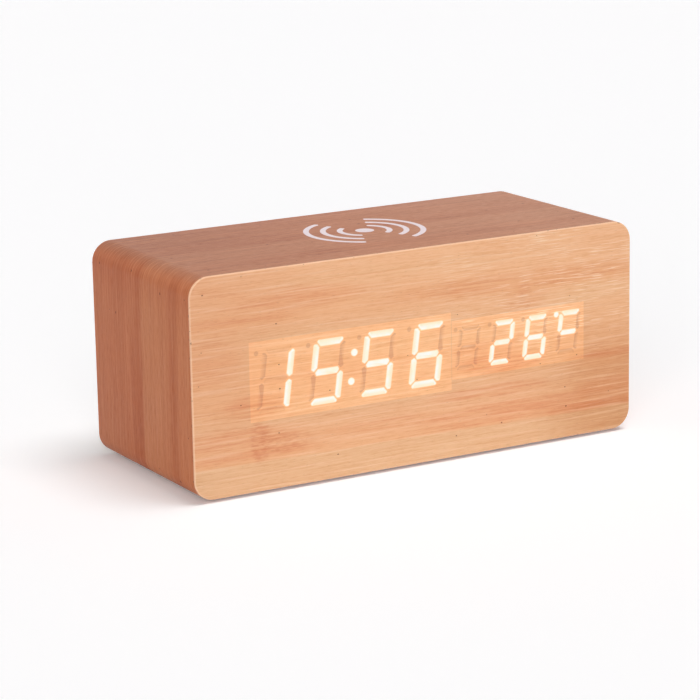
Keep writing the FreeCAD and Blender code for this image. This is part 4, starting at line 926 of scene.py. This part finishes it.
def module_outlines(module):
    """The outlines of one display's segments and dots: those that are on, and the others with
    how strongly each shows through the veneer."""
    lit, unlit = [], []
    for number, shown in enumerate(module.shown):
        along = (number - (len(module.shown) - 1) / 2) * module.pitch
        x, cz = module.centre[0] + along, module.centre[1] + along * module.lean
        corners = segment_corners(module.columns, module.rows, module.stroke)
        for letter, shape in corners.items():
            leaning = [(x + px + pz * SLANT, cz + pz) for px, pz in shape]
            outline = rounded(leaning, SEGMENT_ROUND * module.stroke / 2)
            if letter in shown:
                lit.append(outline)
            else:
                unlit.append((outline, module.level_bars if letter in "adg" else 1.0))
        at = (x + module.dot[0], cz + module.dot[1])
        if "." in shown:
            lit.append(dot_outline(*at, module.dot_radius))
        else:
            unlit.append((dot_outline(*at, UNLIT_DOT_SIZE * module.dot_radius),
                          UNLIT_DOT_STRENGTH))
    return lit, unlit


def distance_to(points, outlines):
    """For each point, how far it is outside the nearest outline; less than 0 inside."""
    points = np.asarray(points)
    nearest = np.full(len(points), np.inf)
    for outline in outlines:
        corners = np.asarray(outline)
        away = np.full(len(points), np.inf)
        inside = np.zeros(len(points), bool)
        for start, end in zip(corners, np.roll(corners, -1, axis=0)):
            side = end - start
            share = np.clip((points - start) @ side / max(side @ side, 1e-12), 0, 1)
            gap = np.linalg.norm(points - start - share[:, None] * side, axis=1)
            away = np.minimum(away, gap)
            if start[1] != end[1]:
                crosses = (start[1] > points[:, 1]) != (end[1] > points[:, 1])
                x_at = (end[0] - start[0]) * (points[:, 1] - start[1]) / (end[1] - start[1])
                inside ^= crosses & (points[:, 0] < x_at + start[0])
        nearest = np.minimum(nearest, np.where(inside, -away, away))
    return nearest


def grown(outline, distance):
    """The outline moved outwards by a distance."""
    found = []
    for i, point in enumerate(outline):
        side = Vector(outline[(i + 1) % len(outline)]) - Vector(outline[i - 1])
        normal = Vector((side.y, -side.x)).normalized()
        found.append(tuple(Vector(point) + normal * distance))
    return found


def window_grid(module):
    """A grid of points in one display's window."""
    (x0, z0), (x1, z1) = module.low, module.high
    return [(x0 + i * GRID_SPACING, z0 + j * GRID_SPACING)
            for i in range(1, int((x1 - x0) / GRID_SPACING))
            for j in range(1, int((z1 - z0) / GRID_SPACING))]


def build_front_face():
    """The veneer of the front, with the displays seen through it."""
    windows, lit, unlit, grid = [], [], [], []
    for module in (TIME, TEMPERATURE):
        (x0, z0), (x1, z1) = module.low, module.high
        windows.append([(x0, z0), (x1, z0), (x1, z1), (x0, z1)])
        module_lit, module_unlit = module_outlines(module)
        lit += module_lit
        unlit += module_unlit
        grid += window_grid(module)
    cx, cz = TIME.centre
    lit += [dot_outline(cx + x + z * SLANT, cz + z, COLON_RADIUS) for x, z in COLON]
    seam = [(TIME.high[0], TIME.low[1]), (TEMPERATURE.low[0], TIME.low[1]),
            (TEMPERATURE.low[0], TIME.high[1]), (TIME.high[0], TIME.high[1])]

    clear = distance_to(grid, lit + [outline for outline, _ in unlit]) > GRID_CLEARANCE
    extra = [point for point, kept in zip(grid, clear) if kept]
    for outline in lit:
        for distance in GLOW_LINES:
            extra += grown(outline, distance)
    for outline, _ in unlit:
        extra += grown(outline, -UNLIT_BLUR)

    def metres(points):
        return [(x * MM, z * MM) for x, z in points]

    areas = [*windows, seam, *[outline for outline, _ in unlit], *lit]
    seam_number = len(windows) + 1
    first_lit = seam_number + len(unlit) + 1
    outline = RoundedRectangle(0, MIDDLE_Z, FRONT_HIGH.x - FRONT_LOW.x, FRONT_HIGH.z - FRONT_LOW.z,
                               CORNER_RADIUS)
    vertices, faces, numbers = plate_mesh(
        outline, [], FRONT_LOW.y, FRONT_HIGH.y, EDGE_ROUND,
        [metres(area) for area in areas], metres(extra))
    wood, edge, window, light = range(4)

    def material_of(number):
        """Which of the four materials an area has."""
        if number == -1:
            return edge
        if number in (0, seam_number):
            return wood
        return light if number >= first_lit else window

    # The edge's material carries a painted highlight along the rounded edge.
    names = ["front_wood", "edge_highlight_and_chips", "display_window", "lit_segment"]
    piece = finish_mesh("front_face", vertices, faces, names,
                        indices=[material_of(number) for number in numbers])
    flat = [(x / MM, z / MM) for x, _, z in vertices]
    shades = [strength * np.clip(-distance_to(flat, [outline]) / UNLIT_BLUR, 0, 1)
              for outline, strength in unlit]
    store(piece, "from_light", distance_to(flat, lit))
    store(piece, "unlit", np.max(shades, axis=0))
    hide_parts("front_veneer")


# ------------------------------------------------------------------ film on the case

PANEL_CORNER, PANEL_FIT = 3 * MM, 0.15 * MM
SEAM_X = -20 * MM
# How close to a corner's curve the flat film beside it has its last points.
SUPPORT = 0.5 * MM
CUP_FIT = 0.1 * MM


def girth_path():
    """Points round the block from the film's seam in the underside: girth, x and z."""
    ring = RoundedRectangle(0, MIDDLE_Z, WRAP_HIGH.x - WRAP_LOW.x, WRAP_HIGH.z - WRAP_LOW.z,
                            CORNER_RADIUS).points()
    corners = [ring[i:i + CORNER_STEPS + 1] for i in range(0, len(ring), CORNER_STEPS + 1)]
    path = [(SEAM_X, WRAP_LOW.z)]
    for corner in corners:
        first = Vector(corner[0])
        before = (first - Vector(path[-1])).normalized() * SUPPORT
        path.append(tuple(first - before))
        path += corner
    path.append((SEAM_X, WRAP_LOW.z))
    girth, found = 0.0, []
    for i, point in enumerate(path):
        if i:
            girth += (Vector(point) - Vector(path[i - 1])).length
        found.append((girth, *point))
    return found


def build_wrap():
    """The film round the sleeve, in one sheet that meets at a seam underneath."""
    path = girth_path()
    girths = [girth for girth, _, _ in path]
    y0, y1 = WRAP_LOW.y, WRAP_HIGH.y
    flange_low, flange_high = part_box("battery_cup")
    radius = (flange_high.x - flange_low.x) / 2 + CUP_FIT
    centre = (flange_low + flange_high) / 2
    outline = [(girth, y0) for girth in girths] + [(girth, y1) for girth in girths[::-1]]
    hole = Round(centre.x - SEAM_X, centre.y, radius, 64).points()
    strips = [[(left, y0), (right, y0), (right, y1), (left, y1)]
              for left, right in zip(girths, girths[1:])]
    found, kept = triangulated(outline, [hole], strips)
    xs, zs = [x for _, x, _ in path], [z for _, _, z in path]
    vertices = [(float(np.interp(girth, girths, xs)), y, float(np.interp(girth, girths, zs)))
                for girth, y in found]
    faces = [triangle[::-1] for triangle, _ in kept]
    piece = finish_mesh("wrap_film", vertices, faces, ["wrap_wood"], thickness=FILM_THICKNESS)
    store(piece, "film_place", [(girth / MM, y / MM, 0) for girth, y in found])
    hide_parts("wrap_veneer")


def build_back_film():
    """The film over the back, open where the control panel is set in."""
    low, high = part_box("back_veneer")
    panel_low, panel_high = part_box("control_cover")
    outline = RoundedRectangle(0, MIDDLE_Z, high.x - low.x, high.z - low.z, CORNER_RADIUS)
    opening = RoundedRectangle(0, MIDDLE_Z, panel_high.x - panel_low.x + 2 * PANEL_FIT,
                               panel_high.z - panel_low.z + 2 * PANEL_FIT, PANEL_CORNER + PANEL_FIT)
    vertices, faces, _ = plate_mesh(outline, [opening], high.y, low.y, EDGE_ROUND)
    piece = finish_mesh("back_film", vertices, faces, ["back_wood"])
    store(piece, "film_place", [(x / MM, z / MM, 0) for x, _, z in vertices])
    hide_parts("back_veneer")


# ------------------------------------------------------------------ back panel, feet, cap

BUTTONS = ("set", "up", "down")
PANEL_THICKNESS, PANEL_EDGE = 1.8 * MM, 0.3 * MM
# Radii of the panel's holes.
SCREW_HOLE, BUTTON_HOLE, SOUND_HOLE, SENSOR_HOLE = 1.2 * MM, 3.3 * MM, 0.75 * MM, 2 * MM
SCREW_HEAD = 2 * MM
SOCKET_MARGIN, SOCKET_CORNER = 0.3 * MM, 0.8 * MM
POST_X, POST_RADIUS = 42 * MM, 2.5 * MM
# The button's flange inside the panel, and its head.
FLANGE_RADIUS, FLANGE_THICKNESS = 4.2 * MM, 1 * MM
HEAD_RADIUS, HEAD_ROUND, HEAD_HOLLOW = 3 * MM, 0.5 * MM, 0.12 * MM
FOOT_ROUND, FOOT_TREAD_INSET = 0.35 * MM, 1.2 * MM
# Radius at which a turned piece is closed on its axis.
TIP = 0.05 * MM
MARK_RISE, MARK_THICKNESS = 6.6 * MM, 0.03 * MM


def middle_x(node):
    """The x of a node's middle."""
    low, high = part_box(node)
    return (low.x + high.x) / 2


def build_control_panel():
    """The panel in the back with its holes, and the two posts that its screws hold."""
    low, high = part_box("control_cover")
    outline = RoundedRectangle(0, MIDDLE_Z, high.x - low.x, high.z - low.z, PANEL_CORNER)
    _, screws_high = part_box("control_cover_screws")
    screw_x, screw_rise = screws_high.x - SCREW_HEAD, screws_high.z - SCREW_HEAD - MIDDLE_Z
    holes = [Round(sx * screw_x, MIDDLE_Z + sz * screw_rise, SCREW_HOLE, 20)
             for sx in (-1, 1) for sz in (-1, 1)]
    holes += [Round(middle_x(f"{name}_button_cap"), MIDDLE_Z, BUTTON_HOLE, 40) for name in BUTTONS]
    holes += [Round(middle_x("microphone"), MIDDLE_Z, SOUND_HOLE, 20),
              Round(middle_x("temperature_sensor"), MIDDLE_Z, SENSOR_HOLE, 28)]
    socket_low, socket_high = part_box("usb_shell")
    holes.append(RoundedRectangle(middle_x("usb_shell"), MIDDLE_Z,
                                  socket_high.x - socket_low.x + 2 * SOCKET_MARGIN,
                                  socket_high.z - socket_low.z + 2 * SOCKET_MARGIN,
                                  SOCKET_CORNER, 5))
    inner_y = high.y - PANEL_THICKNESS
    vertices, faces, _ = plate_mesh(outline, holes, high.y, inner_y, PANEL_EDGE)
    piece = finish_mesh("control_panel", vertices, faces, ["panel_plastic"])
    for side, sx in (("left", -1), ("right", 1)):
        profile = [(POST_RADIUS, 0), (POST_RADIUS, inner_y - low.y)]
        turned(f"panel_post_{side}", profile, (sx * POST_X, low.y, MIDDLE_Z), "Y",
               "panel_plastic", steps=24)
    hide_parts("control_cover")


def build_button(name):
    """A button cap with a rounded rim and a slightly hollow top."""
    low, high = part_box(f"{name}_button_cap")
    length = high.y - low.y
    profile = [(FLANGE_RADIUS, 0), (FLANGE_RADIUS, FLANGE_THICKNESS),
               (HEAD_RADIUS, FLANGE_THICKNESS)]
    profile += arc_profile(HEAD_RADIUS, length, HEAD_ROUND)
    profile += [(share * (HEAD_RADIUS - HEAD_ROUND), length - HEAD_HOLLOW * (1 - share ** 2))
                for share in (0.8, 0.55, 0.3, 0.05)]
    centre = (low + high) / 2
    piece = turned(f"{name}_button", profile, (centre.x, low.y, centre.z), "Y", "button_plastic",
                   f"{name}_button")
    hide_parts(f"{name}_button_cap")


def build_feet():
    """Four round pads with a rounded rim at the tread."""
    for node in ("foot_front_left", "foot_front_right", "foot_rear_left", "foot_rear_right"):
        low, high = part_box(node)
        centre = (low + high) / 2
        radius, height = (high.x - low.x) / 2, high.z - low.z
        profile = [(TIP, 0), (radius - FOOT_TREAD_INSET, 0)]
        profile += arc_profile(radius, 0, FOOT_ROUND, upward=False)
        profile += [(radius, height), (TIP, height)]
        piece = turned(f"{node}_pad", profile, (centre.x, centre.y, 0), "Z", "foot_rubber")
        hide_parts(node)


def build_panel_marks():
    """Printed marks over the buttons: a ring to set, and arrows up and down."""
    panel_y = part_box("control_cover")[1].y

    def mark(name, x, loops):
        """One mark over a button, from its flat outlines in millimetres."""
        vertices, faces = [], []
        for loop in loops:
            start, count = len(vertices), len(loop)
            for y in (panel_y, panel_y + MARK_THICKNESS):
                vertices += [(x + u * MM, y, MIDDLE_Z + MARK_RISE + v * MM) for u, v in loop]
            faces.append([start + count + i for i in range(count)][::-1])
            faces.append([start + i for i in range(count)])
            wall(faces, start, start + count, count)
        finish_mesh(name, vertices, faces, ["panel_mark"], slot="print_ink", flat=True)

    def ring_quads(outer, inner, steps=24):
        """A flat ring, in as many four-sided parts as steps."""
        turn = 2 * math.pi / steps
        spokes = [(math.cos(i * turn), math.sin(i * turn)) for i in range(steps + 1)]
        return [[(inner * c0, inner * s0), (outer * c0, outer * s0), (outer * c1, outer * s1),
                 (inner * c1, inner * s1)] for (c0, s0), (c1, s1) in zip(spokes, spokes[1:])]

    marks = {
        "set": ring_quads(1.25, 0.8) + [dot_outline(0, 0, 0.4, 12)],
        "up": [[(-1.2, -0.8), (1.2, -0.8), (0, 1.2)]],
        "down": [[(1.2, 0.8), (-1.2, 0.8), (0, -1.2)]],
    }
    for name, loops in marks.items():
        mark(f"{name}_mark", middle_x(f"{name}_button_cap"), loops)


# ------------------------------------------------------------------ surroundings

FLOOR_REACH = 6.0
FLOOR_GLOW = 0.165
SKY_LEVEL = 0.15
# Distant lamps: azimuth from straight in front, elevation, level, and spread in degrees.
LAMPS = {"key": (44, 74, 0.56, 34), "fill": (-34, 22, 0.49, 40)}


def seen_directly(nodes):
    """One for rays that see a surface or the sky themselves, mirrored or through glass."""
    path = nodes.add("LightPath").outputs
    mirrored = nodes.math("MAXIMUM", path["Is Glossy Ray"], path["Is Transmission Ray"])
    return nodes.math("MAXIMUM", path["Is Camera Ray"], mirrored)


def build_floor():
    """A white floor that keeps the clock's soft shadow."""
    nodes, shader = new_material("white_floor")
    set_surface(nodes, shader, srgb(247, 246, 247), 0.9, Specular_IOR_Level=0.0,
                Emission_Color=srgb(255, 255, 255))
    nodes.join(nodes.times(seen_directly(nodes), FLOOR_GLOW), shader.inputs["Emission Strength"])
    mesh = bpy.data.meshes.new("floor")
    corners = [(x * FLOOR_REACH, y * FLOOR_REACH, 0)
               for x, y in ((-1, -1), (1, -1), (1, 1), (-1, 1))]
    mesh.from_pydata(corners, [], [(0, 1, 2, 3)])
    mesh.materials.append(MATERIALS["white_floor"])
    floor = bpy.data.objects.new("floor", mesh)
    bpy.context.scene.collection.objects.link(floor)


def direction(azimuth, elevation):
    """From the clock towards a place given in degrees; azimuth 0 is straight in front."""
    azimuth, elevation = math.radians(azimuth), math.radians(elevation)
    return Vector((math.sin(azimuth) * math.cos(elevation),
                   -math.cos(azimuth) * math.cos(elevation), math.sin(elevation)))


def add_sun(name, azimuth, elevation, level, spread):
    """A distant lamp; level is how bright it lights a white surface that faces it."""
    lamp = bpy.data.lights.new(name, "SUN")
    lamp.energy = level * math.pi
    lamp.angle = math.radians(spread)
    holder = bpy.data.objects.new(name, lamp)
    towards = direction(azimuth, elevation)
    holder.rotation_euler = towards.to_track_quat("Z", "Y").to_euler()
    bpy.context.scene.collection.objects.link(holder)


def build_light():
    """A high key from the right, a broad lamp near the camera and an even sky."""
    world = bpy.data.worlds.new("studio")
    bpy.context.scene.world = world
    world.use_nodes = True
    nodes = Nodes(world.node_tree)
    background = world.node_tree.nodes["Background"]
    sky = (SKY_LEVEL, SKY_LEVEL, SKY_LEVEL, 1)
    nodes.join(nodes.blend(seen_directly(nodes), sky, (1, 1, 1, 1)), background.inputs["Color"])
    background.inputs["Strength"].default_value = 1.0
    for name, values in LAMPS.items():
        add_sun(name, *values)


# The camera was fitted to the block's edges in the photo.
CAMERA_TARGET = Vector((-5.874, 0, 31.574)) * MM
CAMERA_DISTANCE = 891.548 * MM
CAMERA_AZIMUTH, CAMERA_ELEVATION, CAMERA_ROLL = -29.848, 13.575, math.radians(-1.047)
CAMERA_LENS, CAMERA_SENSOR = 142.45, 36


def build_camera():
    """The camera at the photo's viewing angle."""
    back = direction(CAMERA_AZIMUTH, CAMERA_ELEVATION)
    right = (-back).cross(Vector((0, 0, 1))).normalized()
    up = right.cross(-back)
    leaning_right = right * math.cos(CAMERA_ROLL) + up * math.sin(CAMERA_ROLL)
    leaning_up = up * math.cos(CAMERA_ROLL) - right * math.sin(CAMERA_ROLL)
    data = bpy.data.cameras.new("camera")
    data.lens, data.sensor_width = CAMERA_LENS, CAMERA_SENSOR
    camera = bpy.data.objects.new("camera", data)
    turn = Matrix((leaning_right, leaning_up, back)).transposed().to_4x4()
    camera.matrix_world = Matrix.Translation(CAMERA_TARGET + back * CAMERA_DISTANCE) @ turn
    bpy.context.scene.collection.objects.link(camera)
    bpy.context.scene.camera = camera


build_front_face()
build_wrap()
build_back_film()
build_control_panel()
for button in BUTTONS:
    build_button(button)
build_feet()
build_panel_marks()
build_floor()
build_light()
build_camera()
bpy.context.scene.view_settings.view_transform = "Standard"
